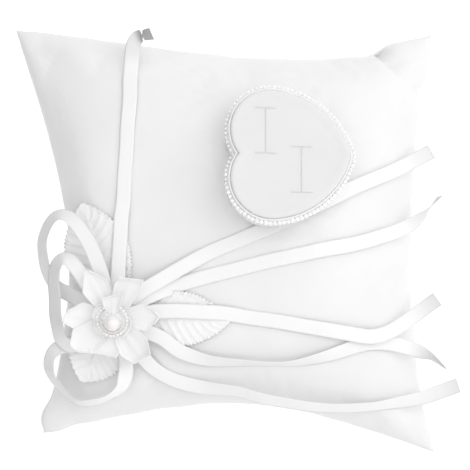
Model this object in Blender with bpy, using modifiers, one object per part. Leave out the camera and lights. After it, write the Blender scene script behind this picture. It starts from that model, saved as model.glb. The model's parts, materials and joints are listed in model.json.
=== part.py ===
"""Ring bearer pillow: a square satin cushion, a heart ring holder, and a corsage with ribbons.

The cushion lies on its back with its front panel facing +Z. +X is its right side and +Y its top
side, and its lowest point is at Z = 0.
"""

import math

import bmesh
import bpy
from mathutils import Matrix, Vector

MM = 0.001
GAP = 0.3 * MM  # clearance between pieces that touch

# Cushion: four seam edges as cubic curves, a height at the seam, and the rise of each panel.
SEAM_TOP = ((-100, 101), (-40, 97), (42, 73), (99, 99))
SEAM_RIGHT = ((99, 99), (88, 37), (83, -40), (100, -101))
SEAM_BOTTOM = ((-87, -92), (-2, -71), (20, -72), (100, -101))
SEAM_LEFT = ((-100, 101), (-74, 18), (-65, -3), (-87, -92))
SEAM_Z = 30 * MM
CROWN = 37 * MM
BELLY = 35 * MM
FULLNESS = 0.45  # power of the panel's section: lower is fuller near the seams
PANEL_THICKNESS = 0.7 * MM
SEAM_HALF_GAP = 0.9 * MM
PANEL_STEPS = 18
EDGE_BAND = 0.07  # share of the width over which a ribbon leaves the cushion level

# Heart ring holder, in its own frame: notch towards -X and point towards +X.
HEART_AT = (28 * MM, 36.5 * MM)
HEART_SINK = 3.2 * MM
LOBE_RADIUS = 18 * MM
LOBE_X, LOBE_Y = -8.5 * MM, 11.3 * MM
SIDE_RADIUS = 39 * MM
POINT_RADIUS = 6 * MM
POINT_X = 21 * MM
GLUE_RADIUS = 14 * MM
TRAY_LIFT = 1.4 * MM
TRAY_HEIGHT = 15 * MM
TRAY_WALL = 1.2 * MM
INSERT_RISE = 2 * MM
TRIM_BEAD = 2.4 * MM
TRIM_Z = 14 * MM
SLIT_LENGTH = 20 * MM
SLIT_SERIF = 10 * MM
SLIT_WIDTH = 1.0 * MM
SLIT_DEPTH = 9 * MM
SLITS = ((-11.5 * MM, 12.5 * MM), (5.0 * MM, -5.5 * MM))  # middle of each ring slit

# Corsage
CORSAGE_AT = (-51 * MM, -34.5 * MM)
CORSAGE_SINK = 3 * MM
CORSAGE_LEAN = 0.4  # share of the cushion's slope that the corsage follows
BASE_RADIUS = 8 * MM
BASE_THICKNESS = 1.2 * MM
KNOT_RADIUS = 2.6 * MM
PETAL_LENGTH = 23 * MM
PETAL_WIDTH = 14 * MM
PETAL_THICKNESS = 0.5 * MM
PETAL_HEADINGS = (5, 56, 120, 178, 218, 256, 308)  # degrees
FLOWER_Z = 12.5 * MM
INNER_PETAL_LENGTH = 12 * MM
INNER_PETAL_WIDTH = 9 * MM
INNER_PETAL_HEADINGS = (40, 130, 220, 310)
PEARL_RADIUS = 4.2 * MM
HALO_RADIUS = 6.4 * MM
HALO_STONE = 2.2 * MM
LEAF_THICKNESS = 0.4 * MM
LEAF_LIFT = 1 * MM
LEAF_START = 9 * MM
# Each leaf's heading in degrees, the length that shows, and its width.
LEAVES = {
    "upper": (108, 45 * MM, 27 * MM),
    "right": (-5, 44 * MM, 23 * MM),
    "lower": (-118, 26 * MM, 24 * MM),
}

# Ribbons: 7 mm satin. A route point is (x, y, lift above the level it lies on, roll in degrees).
RIBBON_WIDTH = 7 * MM
RIBBON_THICKNESS = 0.4 * MM
ROUTES = {
    "ribbon_tail_1": (
        (-0.0505, -0.025, 0.007, 0),
        (-0.05, -0.02, 0.0056, 0),
        (-0.05, -0.013, 0.0032, 0),
        (-0.0495, -0.005, 0.0022, 0),
        (-0.049, 0.003, 0.002, 0),
        (-0.0485, 0.0115, 0.0018, 0),
        (-0.0475, 0.0195, 0.0012, 0),
        (-0.047, 0.031, 0.0009, 0),
        (-0.046, 0.043, 0.0009, 0),
        (-0.0455, 0.0545, 0.0009, 0),
        (-0.0445, 0.0665, 0.0009, 0),
        (-0.0445, 0.0765, 0.0009, 0),
        (-0.044, 0.085, 0.0012, 0),
        (-0.0435, 0.0905, 0.0015, 5),
        (-0.0425, 0.094, 0.0015, 30),
        (-0.0405, 0.0965, 0.001, 70),
        (-0.037, 0.0975, 0, 110),
        (-0.0345, 0.098, -0.001, 125),
    ),
    "ribbon_tail_2": (
        (-0.0445, -0.027, 0.0072, 0),
        (-0.0405, -0.0245, 0.0064, 0),
        (-0.036, -0.0215, 0.005, 0),
        (-0.0275, -0.0165, 0.0032, 0),
        (-0.019, -0.0115, 0.002, 0),
        (-0.007, -0.005, 0.001, 0),
        (0.005, 0, 0.0007, 0),
        (0.0165, 0.005, 0.0007, 0),
        (0.028, 0.01, 0.0007, 0),
        (0.0395, 0.0155, 0.0007, 0),
        (0.0505, 0.0205, 0.0007, 0),
        (0.0585, 0.0245, 0.0008, 0),
        (0.068, 0.0285, 0.0009, 0),
        (0.079, 0.033, 0.001, 0),
        (0.088, 0.0375, 0.001, 0),
        (0.0975, 0.0425, -0.001, 0),
    ),
    "ribbon_tail_3": (
        (-0.048, -0.032, 0.007, 0),
        (-0.042, -0.029, 0.006, 0),
        (-0.0365, -0.026, 0.0045, 0),
        (-0.029, -0.023, 0.0022, 0),
        (-0.019, -0.0195, 0.0009, 0),
        (-0.007, -0.016, 0.0008, 0),
        (0.005, -0.013, 0.0008, 0),
        (0.0185, -0.0095, 0.0008, 0),
        (0.0325, -0.0065, 0.0008, 0),
        (0.0465, -0.0035, 0.0008, 0),
        (0.061, -0.001, 0.0008, 0),
        (0.0755, 0.003, 0.001, 0),
        (0.084, 0.006, 0.001, 10),
        (0.0905, 0.01, 0.001, 40),
        (0.0955, 0.0145, 0, 75),
        (0.099, 0.0185, -0.001, 95),
        (0.1015, 0.0215, -0.002, 100),
    ),
    "ribbon_tail_4": (
        (-0.048, -0.0345, 0.0062, 0),
        (-0.041, -0.0335, 0.0055, 0),
        (-0.0345, -0.033, 0.0042, 0),
        (-0.027, -0.0325, 0.003, 0),
        (-0.0185, -0.0325, 0.0025, 0),
        (-0.009, -0.033, 0.0022, 0),
        (0, -0.0335, 0.0016, 0),
        (0.012, -0.0355, 0.001, 0),
        (0.0235, -0.037, 0.001, 0),
        (0.035, -0.039, 0.001, 0),
        (0.047, -0.041, 0.0014, 0),
        (0.0585, -0.043, 0.0022, 0),
        (0.068, -0.0445, 0.0026, -10),
        (0.076, -0.043, 0.0024, -15),
        (0.0825, -0.0395, 0.002, -10),
        (0.089, -0.035, 0.0015, 0),
        (0.1, -0.027, 0, 0),
    ),
    "ribbon_tail_5": (
        (-0.0485, -0.037, 0.0054, 0),
        (-0.042, -0.0395, 0.0048, 0),
        (-0.0355, -0.0425, 0.004, 0),
        (-0.029, -0.0455, 0.003, 0),
        (-0.0225, -0.0505, 0.0026, 0),
        (-0.016, -0.0535, 0.0024, 10),
        (-0.006, -0.056, 0.0026, 30),
        (0.006, -0.0565, 0.003, 45),
        (0.019, -0.057, 0.0032, 55),
        (0.0305, -0.057, 0.0028, 50),
        (0.042, -0.055, 0.0018, 30),
        (0.053, -0.052, 0.001, 10),
        (0.0615, -0.049, 0.0009, 0),
        (0.069, -0.0475, 0.0009, 0),
        (0.078, -0.048, 0.001, 0),
        (0.086, -0.05, 0.001, 0),
        (0.092, -0.052, 0.001, 20),
        (0.098, -0.055, 0, 60),
        (0.1035, -0.0595, -0.002, 80),
    ),
    "ribbon_tail_6": (
        (-0.05, -0.0385, 0.0046, 0),
        (-0.046, -0.0435, 0.0042, 0),
        (-0.0425, -0.0485, 0.004, 0),
        (-0.0375, -0.0555, 0.0028, 0),
        (-0.032, -0.061, 0.0012, 0),
        (-0.0235, -0.0655, 0.001, 0),
        (-0.0115, -0.0685, 0.0012, 10),
        (-0.002, -0.0695, 0.0025, 30),
        (0.007, -0.0705, 0.004, 40),
        (0.0175, -0.0735, 0.005, 42),
        (0.0285, -0.0755, 0.0045, 45),
        (0.04, -0.0775, 0.0038, 46),
        (0.0545, -0.0785, 0.003, 46),
        (0.0685, -0.078, 0.0024, 38),
        (0.083, -0.076, 0.0016, 22),
        (0.0935, -0.074, 0.001, 8),
        (0.102, -0.071, 0, 0),
        (0.1105, -0.068, -0.001, 0),
    ),
    "bow_loop_1": (
        (-0.055, -0.0255, 0.0096, 0),
        (-0.056, -0.021, 0.0098, 0),
        (-0.0575, -0.0155, 0.0102, 0),
        (-0.06, -0.008, 0.011, 5),
        (-0.063, -0.001, 0.012, 10),
        (-0.0665, 0.005, 0.013, 20),
        (-0.0695, 0.009, 0.014, 35),
        (-0.073, 0.012, 0.0145, 50),
        (-0.077, 0.0125, 0.0145, 60),
        (-0.0805, 0.0105, 0.013, 62),
        (-0.0835, 0.006, 0.011, 62),
        (-0.0855, 0, 0.0085, 60),
        (-0.0855, -0.006, 0.006, 55),
        (-0.0845, -0.0125, 0.004, 50),
        (-0.082, -0.018, 0.0025, 40),
        (-0.078, -0.0225, 0.002, 20),
        (-0.073, -0.025, 0.002, 0),
        (-0.066, -0.029, 0.0028, 0),
        (-0.06, -0.0325, 0.0038, 0),
    ),
    "bow_loop_2": (
        (-0.0585, -0.0285, 0.0082, 0),
        (-0.0615, -0.0245, 0.009, 0),
        (-0.065, -0.0185, 0.0105, 0),
        (-0.069, -0.0125, 0.011, 10),
        (-0.0725, -0.0085, 0.0115, 30),
        (-0.076, -0.008, 0.012, 50),
        (-0.079, -0.0115, 0.012, 48),
        (-0.08, -0.0185, 0.011, 44),
        (-0.0795, -0.0265, 0.01, 42),
        (-0.0795, -0.034, 0.009, 42),
        (-0.0785, -0.0405, 0.008, 40),
        (-0.077, -0.046, 0.007, 35),
        (-0.073, -0.049, 0.006, 15),
        (-0.069, -0.048, 0.0052, 0),
        (-0.064, -0.0445, 0.0046, 0),
        (-0.0585, -0.04, 0.0046, 0),
    ),
    "bow_loop_3": (
        (-0.057, -0.038, 0.003, 0),
        (-0.0625, -0.043, 0.003, 0),
        (-0.069, -0.047, 0.003, 5),
        (-0.0755, -0.049, 0.0034, 20),
        (-0.08, -0.051, 0.004, 35),
        (-0.0825, -0.0545, 0.005, 48),
        (-0.083, -0.059, 0.006, 52),
        (-0.0815, -0.064, 0.0065, 70),
        (-0.078, -0.0685, 0.007, 74),
        (-0.074, -0.073, 0.0075, 78),
        (-0.0685, -0.076, 0.008, 80),
        (-0.0615, -0.0755, 0.008, 75),
        (-0.0555, -0.0735, 0.008, 84),
        (-0.0505, -0.0705, 0.007, 70),
        (-0.0475, -0.0665, 0.0055, 38),
        (-0.0465, -0.0605, 0.0045, 8),
        (-0.047, -0.054, 0.0022, 0),
        (-0.0495, -0.0475, 0.002, 0),
        (-0.0525, -0.043, 0.0022, 0),
    ),
}


def bezier(points, t):
    """Point of a cubic curve given in millimetres, in metres."""
    a, b, c, d = (Vector(p) * MM for p in points)
    s = 1 - t
    return a * s**3 + b * 3 * s * s * t + c * 3 * s * t * t + d * t**3


def seam_patch(u, v):
    """Plan position at (u, v) between the four seam edges, u to the right and v up."""
    top, bottom = bezier(SEAM_TOP, u), bezier(SEAM_BOTTOM, u)
    left, right = bezier(SEAM_LEFT, 1 - v), bezier(SEAM_RIGHT, 1 - v)
    corners = (
        bezier(SEAM_BOTTOM, 0) * (1 - u) * (1 - v)
        + bezier(SEAM_BOTTOM, 1) * u * (1 - v)
        + bezier(SEAM_TOP, 0) * (1 - u) * v
        + bezier(SEAM_TOP, 1) * u * v
    )
    return bottom * (1 - v) + top * v + left * (1 - u) + right * u - corners


def patch_place(x, y):
    """The (u, v) whose plan position is nearest to (x, y)."""
    u = v = 0.5
    for _ in range(25):
        here = seam_patch(u, v)
        u = min(max(u + (x - here.x) / 0.18, 0), 1)
        v = min(max(v + (y - here.y) / 0.18, 0), 1)
    return u, v


def swell(u, v):
    """Share of the full rise at (u, v): nought on the seams and one in the middle."""
    return max(math.sin(math.pi * u) * math.sin(math.pi * v), 0) ** FULLNESS


def dome(x, y, band=0.0):
    """Height of the unpressed front panel; it runs on level outside the given edge band."""
    u, v = patch_place(x, y)
    u = min(max(u, band), 1 - band)
    v = min(max(v, band), 1 - band)
    return SEAM_Z + SEAM_HALF_GAP + CROWN * swell(u, v)


def slope_normal(height, x, y, lean=1.0):
    """Upward normal of a height function, its tilt scaled by lean."""
    step = 2 * MM
    dx = (height(x + step, y) - height(x - step, y)) / (2 * step)
    dy = (height(x, y + step) - height(x, y - step)) / (2 * step)
    return Vector((-dx * lean, -dy * lean, 1)).normalized()


def seat_frame(at, sink, lean=1.0):
    """Frame of a flat seat that a stiff piece presses into the front panel."""
    normal = slope_normal(dome, at[0], at[1], lean)
    across = Vector((1, 0, 0))
    across = (across - normal * across.dot(normal)).normalized()
    axes = Matrix((across, normal.cross(across), normal)).transposed().to_4x4()
    return Matrix.Translation((at[0], at[1], dome(*at) - sink)) @ axes


HEART_SEAT = seat_frame(HEART_AT, HEART_SINK)
CORSAGE_SEAT = seat_frame(CORSAGE_AT, CORSAGE_SINK, CORSAGE_LEAN)


def seat_level(seat, x, y):
    """Height of a seat's plane over (x, y)."""
    origin, normal = seat.translation, seat.col[2].to_3d()
    return origin.z - (normal.x * (x - origin.x) + normal.y * (y - origin.y)) / normal.z


def front_height(x, y, band=0.0):
    """Height of the front panel with the heart and the corsage pressed into it."""
    seats = (seat_level(seat, x, y) for seat in (HEART_SEAT, CORSAGE_SEAT))
    return min(dome(x, y, band), *seats)


def lay_height(x, y):
    """Level that ribbons and leaves lie on: the front panel, running on past the seams."""
    return front_height(x, y, EDGE_BAND)


def material(name, colour, roughness, metallic=0.0):
    """A plain material of one colour."""
    made = bpy.data.materials.new(name)
    made.use_nodes = True
    shader = made.node_tree.nodes["Principled BSDF"]
    shader.inputs["Base Color"].default_value = (*colour, 1)
    shader.inputs["Roughness"].default_value = roughness
    shader.inputs["Metallic"].default_value = metallic
    return made


def add_object(name, mesh, finish, frame=None):
    """Puts a bmesh in the scene as a named object and returns it."""
    bmesh.ops.recalc_face_normals(mesh, faces=mesh.faces)
    data = bpy.data.meshes.new(name)
    mesh.to_mesh(data)
    mesh.free()
    data.materials.append(finish)
    made = bpy.data.objects.new(name, data)
    made.matrix_world = frame or Matrix.Identity(4)
    PIECES.objects.link(made)
    return made


def solidify(piece, thickness):
    """Gives an open surface its thickness, half on each side."""
    made = piece.modifiers.new("thickness", "SOLIDIFY")
    made.thickness = thickness
    made.offset = 0
    made.use_even_offset = True
    return made


def loft(rings, closed=False):
    """Bmesh through rings of equally many points, capped at its ends or closed on itself."""
    mesh = bmesh.new()
    rows = [[mesh.verts.new(p) for p in ring] for ring in rings]
    pairs = list(zip(rows, rows[1:]))
    if closed:
        pairs.append((rows[-1], rows[0]))
    else:
        mesh.faces.new(rows[0])
        mesh.faces.new(rows[-1])
    for low, high in pairs:
        for i in range(len(low)):
            j = (i + 1) % len(low)
            mesh.faces.new((low[i], low[j], high[j], high[i]))
    return mesh


def strip(rows):
    """Open surface through rows of equally many points."""
    mesh = bmesh.new()
    grid = [[mesh.verts.new(p) for p in row] for row in rows]
    for low, high in zip(grid, grid[1:]):
        for i in range(len(low) - 1):
            mesh.faces.new((low[i], low[i + 1], high[i + 1], high[i]))
    return mesh


def eased(step, steps):
    """Even steps made closer near both ends."""
    t = step / steps
    return 0.6 * (1 - math.cos(math.pi * t)) / 2 + 0.4 * t


def panel_rows(height, steps, inset=0.0):
    """Rows of points of a panel between the seams, drawn in by a share of its width."""
    rows = []
    for j in range(steps + 1):
        v = inset + (1 - 2 * inset) * eased(j, steps)
        row = []
        for i in range(steps + 1):
            u = inset + (1 - 2 * inset) * eased(i, steps)
            place = seam_patch(u, v)
            row.append((place.x, place.y, height(u, v, place)))
        rows.append(row)
    return rows


def front_level(u, v, place):
    """Outer face of the front panel at a patch position."""
    level = SEAM_Z + SEAM_HALF_GAP + CROWN * swell(u, v)
    seats = (seat_level(seat, place.x, place.y) for seat in (HEART_SEAT, CORSAGE_SEAT))
    return min(level, *seats)


def back_level(u, v, _place):
    """Outer face of the back panel, flat where it rests."""
    return max(SEAM_Z - SEAM_HALF_GAP - BELLY * swell(u, v), 0)


def build_panel(name, level, up, finish):
    """One satin panel as a thin shell inside its outer face."""
    mesh = strip(panel_rows(level, PANEL_STEPS))
    panel = add_object(name, mesh, finish)
    flipped = panel.data.polygons[0].normal.z * up < 0
    if flipped:
        panel.data.flip_normals()
    shell = solidify(panel, PANEL_THICKNESS)
    shell.offset = -1
    return panel


def build_filling(finish):
    """The wad of fibre inside, clear of both panels."""
    clear = PANEL_THICKNESS + 4 * GAP
    steps = PANEL_STEPS - 4
    top = panel_rows(lambda u, v, p: front_level(u, v, p) - clear * 1.6, steps, 0.05)
    bottom = panel_rows(lambda u, v, p: back_level(u, v, p) + clear * 1.6, steps, 0.05)
    mesh = bmesh.new()
    upper = [[mesh.verts.new(p) for p in row] for row in top]
    lower = [[mesh.verts.new(p) for p in row] for row in bottom]
    for grid in (upper, lower):
        for low, high in zip(grid, grid[1:]):
            for i in range(steps):
                mesh.faces.new((low[i], low[i + 1], high[i + 1], high[i]))
    rims = [boundary(grid) for grid in (upper, lower)]
    count = len(rims[0])
    for i in range(count):
        j = (i + 1) % count
        mesh.faces.new((rims[0][i], rims[0][j], rims[1][j], rims[1][i]))
    add_object("pillow_filling", mesh, finish)


def boundary(grid):
    """Vertices round the edge of a square grid, in order."""
    last = len(grid) - 1
    bottom = [grid[0][i] for i in range(last)]
    right = [grid[j][last] for j in range(last)]
    top = [grid[last][last - i] for i in range(last)]
    left = [grid[last - j][0] for j in range(last)]
    return bottom + right + top + left


def arc(centre, radius, start, end, count):
    """Points on an arc, its first one left out."""
    angles = [start + (end - start) * k / count for k in range(1, count + 1)]
    return [centre + radius * Vector((math.cos(a), math.sin(a))) for a in angles]


def heart_outline(out=0.0):
    """Plan of the heart, moved outwards by a distance: lobes, sides and a rounded point."""
    lobe, tip = Vector((LOBE_X, LOBE_Y)), Vector((POINT_X, 0))
    span = tip - lobe
    near, far = SIDE_RADIUS - LOBE_RADIUS, SIDE_RADIUS - POINT_RADIUS
    along = (near**2 - far**2 + span.length**2) / (2 * span.length)
    across = math.sqrt(near**2 - along**2)
    ahead = span.normalized()
    side = lobe + ahead * along - Vector((-ahead.y, ahead.x)) * across
    to_lobe, to_tip = lobe - side, tip - side
    lobe_end = math.atan2(to_lobe.y, to_lobe.x)
    side_end = math.atan2(to_tip.y, to_tip.x)
    radius = LOBE_RADIUS + out
    notch = math.pi + math.asin(LOBE_Y / radius)
    upper = arc(lobe, radius, notch, lobe_end, 12)
    upper += arc(side, SIDE_RADIUS + out, lobe_end, side_end, 5)
    upper += arc(tip, POINT_RADIUS + out, side_end, 0, 3)
    notch_x = LOBE_X - math.sqrt(radius**2 - LOBE_Y**2)
    lower = [Vector((p.x, -p.y)) for p in reversed(upper[:-1])]
    return [Vector((notch_x, 0))] + upper + lower


def heart_ring(out, z):
    """The heart outline as points at one level."""
    return [(p.x, p.y, z) for p in heart_outline(out)]


def cut(piece, cutter_mesh, frame, name):
    """Takes a closed mesh away from a piece."""
    bmesh.ops.recalc_face_normals(cutter_mesh, faces=cutter_mesh.faces)
    data = bpy.data.meshes.new(name)
    cutter_mesh.to_mesh(data)
    cutter_mesh.free()
    cutter = bpy.data.objects.new(name, data)
    cutter.matrix_world = frame
    cutter.hide_render = True
    cutter.display_type = "WIRE"
    CUTTERS.objects.link(cutter)
    made = piece.modifiers.new(name, "BOOLEAN")
    made.operation = "DIFFERENCE"
    made.solver = "EXACT"
    made.object = cutter


def box_mesh(size, middle):
    """Bmesh of a box."""
    mesh = bmesh.new()
    place = Matrix.Translation(middle) @ Matrix.Diagonal((*size, 1))
    bmesh.ops.create_cube(mesh, size=1, matrix=place)
    return mesh


def build_heart(plastic, velvet, stones, glue):
    """Heart tray glued on the seat, its slit foam insert, and the beaded trim round its wall."""
    add_object("heart_glue_pad", disc(GLUE_RADIUS, GAP, TRAY_LIFT - GAP), glue, HEART_SEAT)

    foot, rim = TRAY_LIFT, TRAY_LIFT + TRAY_HEIGHT
    tray = loft([heart_ring(TRAY_WALL + GAP, foot), heart_ring(TRAY_WALL + GAP, rim)])
    tray = add_object("heart_tray", tray, plastic, HEART_SEAT)
    floor = foot + TRAY_WALL
    hollow = loft([heart_ring(GAP, floor), heart_ring(GAP, rim + 5 * MM)])
    cut(tray, hollow, HEART_SEAT, "heart_tray_hollow")

    top = rim + INSERT_RISE
    levels = ((0, floor + GAP), (0, rim), (-0.4, top - 1.0 * MM), (-1.8, top))
    rings = [heart_ring(out * MM if out else 0, z) for out, z in levels]
    insert = add_object("heart_insert", loft(rings), velvet, HEART_SEAT)
    for number, (x, y) in enumerate(SLITS, 1):
        half = SLIT_LENGTH / 2
        strokes = (
            ((SLIT_WIDTH, SLIT_LENGTH + SLIT_WIDTH), (x, y)),
            ((SLIT_SERIF, SLIT_WIDTH), (x, y + half)),
            ((SLIT_SERIF, SLIT_WIDTH), (x, y - half)),
        )
        for stroke, (size, place) in enumerate(strokes, 1):
            box = box_mesh((*size, 2 * SLIT_DEPTH), (*place, top))
            cut(insert, box, HEART_SEAT, f"slit_{number}_{stroke}")

    reach = TRAY_WALL + 2 * GAP + TRIM_BEAD / 2
    sides = 8
    rings = []
    for k in range(sides):
        angle = 2 * math.pi * (k + 0.5) / sides
        out = reach + TRIM_BEAD / 2 * math.cos(angle)
        rings.append(heart_ring(out, foot + TRIM_Z + TRIM_BEAD / 2 * math.sin(angle)))
    add_object("heart_trim", loft(rings, closed=True), stones, HEART_SEAT)


def disc(radius, low, high, sides=24, taper=1.0):
    """Bmesh of a short round block."""
    turns = [2 * math.pi * k / sides for k in range(sides)]
    rings = [
        [(r * math.cos(a), r * math.sin(a), z) for a in turns]
        for r, z in ((radius, low), (radius * taper, high))
    ]
    return loft(rings)


def narrowest_gap(headings, number):
    """Angle in radians from one petal to its nearer neighbour."""
    ahead = (headings[(number + 1) % len(headings)] - headings[number]) % 360
    behind = (headings[number] - headings[number - 1]) % 360
    return math.radians(min(ahead, behind))


def petal_rows(length, width, start, cup, gap, steps=5):
    """One pointed petal along +X, rising by cup, kept inside the gap between its neighbours."""
    rows = []
    share = math.tan(gap / 2)
    for i in range(steps + 1):
        t = i / steps
        half = width / 2 * (math.sin(math.pi * min(t * 0.86 + 0.1, 1)) ** 0.8)
        x = start + (length - start) * t
        half = min(half, x * share - 2 * GAP)
        lift = cup * t * t
        fold = 0.12 * half
        rows.append([(x, -half, lift + fold), (x, 0, lift), (x, half, lift + fold)])
    return rows


def build_flower(satin, pearl, stones):
    """Two whorls of satin petals with a pearl in a ring of stones."""
    whorls = (
        ("petal", PETAL_HEADINGS, (PETAL_LENGTH, PETAL_WIDTH, 4.5 * MM, 3 * MM), 0),
        (
            "inner_petal",
            INNER_PETAL_HEADINGS,
            (INNER_PETAL_LENGTH, INNER_PETAL_WIDTH, 4 * MM, 5 * MM),
            2 * MM,
        ),
    )
    for kind, headings, size, rise in whorls:
        for number, heading in enumerate(headings):
            turn = Matrix.Rotation(math.radians(heading), 4, "Z")
            place = CORSAGE_SEAT @ Matrix.Translation((0, 0, FLOWER_Z + rise)) @ turn
            surface = strip(petal_rows(*size, narrowest_gap(headings, number)))
            petal = add_object(f"{kind}_{number + 1}", surface, satin, place)
            solidify(petal, PETAL_THICKNESS)

    centre = Matrix.Translation((0, 0, FLOWER_Z + 8 * MM))
    ball = bmesh.new()
    bmesh.ops.create_uvsphere(ball, u_segments=18, v_segments=12, radius=PEARL_RADIUS)
    add_object("pearl", ball, pearl, CORSAGE_SEAT @ centre)
    rings = []
    for k in range(8):
        angle = 2 * math.pi * k / 8
        r = HALO_RADIUS + HALO_STONE / 2 * math.cos(angle)
        z = HALO_STONE / 2 * math.sin(angle)
        turns = [2 * math.pi * i / 28 for i in range(28)]
        rings.append([(r * math.cos(a), r * math.sin(a), z) for a in turns])
    halo = add_object("rhinestone_ring", loft(rings, closed=True), stones)
    halo.matrix_world = CORSAGE_SEAT @ centre


def build_corsage_core(felt, thread):
    """Felt backing glued to the cushion and the bound stem that holds ribbons and petals."""
    backing = disc(BASE_RADIUS, GAP, GAP + BASE_THICKNESS)
    add_object("corsage_backing", backing, felt, CORSAGE_SEAT)
    low, high = 2 * GAP + BASE_THICKNESS, FLOWER_Z + 3.2 * MM
    add_object("corsage_stem", disc(KNOT_RADIUS, low, high, 16), thread, CORSAGE_SEAT)


def build_leaf(name, angle, length, width, finish):
    """One leaf lying on the front panel, pointing away from the corsage."""
    heading = math.radians(angle)
    along = Vector((math.cos(heading), math.sin(heading)))
    across = Vector((-along.y, along.x))
    steps = 8
    rows = []
    for i in range(steps + 1):
        t = i / steps
        half = width / 2 * math.sin(math.pi * (0.12 + 0.86 * t)) ** 0.8
        row = []
        for side in (-1, -0.5, 0, 0.5, 1):
            reach = LEAF_START + length * t
            place = Vector(CORSAGE_AT) + along * reach + across * (half * side)
            row.append((place.x, place.y, lay_height(*place) + LEAF_LIFT))
        rows.append(row)
    solidify(add_object(name, strip(rows), finish), LEAF_THICKNESS)


def smooth_route(points, per_span=3):
    """A smooth curve through route points, with a few steps in each span."""
    padded = [points[0], *points, points[-1]]
    curve = []
    for a, b, c, d in zip(padded, padded[1:], padded[2:], padded[3:]):
        for k in range(per_span):
            t = k / per_span
            curve.append(
                [
                    0.5 * (2 * q + (r - p) * t + (2 * p - 5 * q + 4 * r - s) * t * t
                           + (3 * q - p - 3 * r + s) * t**3)
                    for p, q, r, s in zip(a, b, c, d)
                ]
            )
    return curve + [list(points[-1])]


def ribbon_rows(points):
    """Two edges of a ribbon along a route, its face turned to the surface below it."""
    route = smooth_route(points)
    middles = [Vector((x, y, lay_height(x, y) + lift)) for x, y, lift, _ in route]
    rows = []
    for i, (middle, (x, y, lift, roll)) in enumerate(zip(middles, route)):
        ahead = middles[min(i + 1, len(route) - 1)] - middles[max(i - 1, 0)]
        clear = min(max(lift / (8 * MM), 0), 1)
        up = slope_normal(lay_height, x, y, 1 - clear)
        side = up.cross(ahead.normalized()).normalized()
        side.rotate(Matrix.Rotation(math.radians(roll), 3, ahead))
        half = side * RIBBON_WIDTH / 2
        rows.append([middle - half, middle + half])
    return rows


def build_ribbon(name, points, finish):
    """One length of flat satin ribbon."""
    solidify(add_object(name, strip(ribbon_rows(points)), finish), RIBBON_THICKNESS)


def clear_scene():
    """Removes whatever the scene holds."""
    for old in list(bpy.data.objects):
        bpy.data.objects.remove(old)


def new_collection(name):
    """A collection in the scene."""
    made = bpy.data.collections.new(name)
    bpy.context.scene.collection.children.link(made)
    return made


def build():
    """All pieces of the ring bearer pillow."""
    white = (0.9, 0.9, 0.9)
    satin = material("satin", white, 0.45)
    ribbon = material("ribbon_satin", white, 0.35)
    leaf = material("embossed_leaf_cloth", white, 0.6)
    fibre = material("polyester_fibre", white, 0.95)
    velvet = material("flocked_foam", white, 0.9)
    plastic = material("white_plastic", white, 0.5)
    glue = material("hot_glue", (0.85, 0.85, 0.8), 0.4)
    stones = material("clear_stones", (0.85, 0.85, 0.88), 0.1)
    pearl = material("pearl_coat", (0.93, 0.9, 0.88), 0.2)
    felt = material("felt", white, 0.95)
    thread = material("binding_thread", white, 0.7)
    build_panel("pillow_front_panel", front_level, 1, satin)
    build_panel("pillow_back_panel", back_level, -1, satin)
    build_filling(fibre)
    build_heart(plastic, velvet, stones, glue)
    build_corsage_core(felt, thread)
    build_flower(satin, pearl, stones)
    for side, (angle, length, width) in LEAVES.items():
        build_leaf(f"leaf_{side}", angle, length, width, leaf)
    for name, points in ROUTES.items():
        build_ribbon(name, points, ribbon)


clear_scene()
PIECES = new_collection("ring_bearer_pillow")
CUTTERS = new_collection("cutters")
CUTTERS.hide_render = True
build()
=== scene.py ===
"""Looks of a white satin ring bearer pillow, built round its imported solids.

The cushion lies on its back: +X is its right side, +Y its top side and +Z faces the camera.
Every size is in metres unless its name says otherwise.
"""

import json
import logging
import math
from collections.abc import Callable, Sequence
from dataclasses import dataclass, field
from enum import Enum

import bmesh
import bpy
import numpy as np
from mathutils import Matrix, Vector, noise

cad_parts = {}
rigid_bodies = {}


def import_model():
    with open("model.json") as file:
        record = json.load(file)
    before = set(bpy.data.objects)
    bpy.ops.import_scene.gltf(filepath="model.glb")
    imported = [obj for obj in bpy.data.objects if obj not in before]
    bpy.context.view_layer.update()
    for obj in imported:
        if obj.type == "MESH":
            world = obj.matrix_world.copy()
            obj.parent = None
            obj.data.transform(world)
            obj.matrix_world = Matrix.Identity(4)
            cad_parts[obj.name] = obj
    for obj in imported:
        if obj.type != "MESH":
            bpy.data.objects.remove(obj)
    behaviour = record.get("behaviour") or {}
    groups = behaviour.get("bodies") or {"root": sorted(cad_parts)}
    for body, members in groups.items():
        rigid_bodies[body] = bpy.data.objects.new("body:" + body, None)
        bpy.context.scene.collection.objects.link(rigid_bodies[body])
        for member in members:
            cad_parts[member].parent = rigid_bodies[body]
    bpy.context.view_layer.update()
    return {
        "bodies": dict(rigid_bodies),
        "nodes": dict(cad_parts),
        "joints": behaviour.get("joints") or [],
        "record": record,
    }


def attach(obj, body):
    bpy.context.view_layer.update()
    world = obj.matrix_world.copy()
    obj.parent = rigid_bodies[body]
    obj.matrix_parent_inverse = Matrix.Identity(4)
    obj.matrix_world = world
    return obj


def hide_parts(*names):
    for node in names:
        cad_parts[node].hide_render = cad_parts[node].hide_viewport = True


LOG = logging.getLogger("ring_bearer_pillow")
MM = 0.001
BODY = "root"
CLOTH_FRAMES = 20
Socket = bpy.types.NodeSocket
Finish = bpy.types.Material
Piece = bpy.types.Object
Faces = list[tuple[int, ...]]
Pairs = Sequence[tuple[float, float]]
Points = np.ndarray | Sequence[Sequence[float]]
Route = Sequence[tuple[float, float, float, float]]


# ---------------------------------------------------------------- finishes


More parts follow.
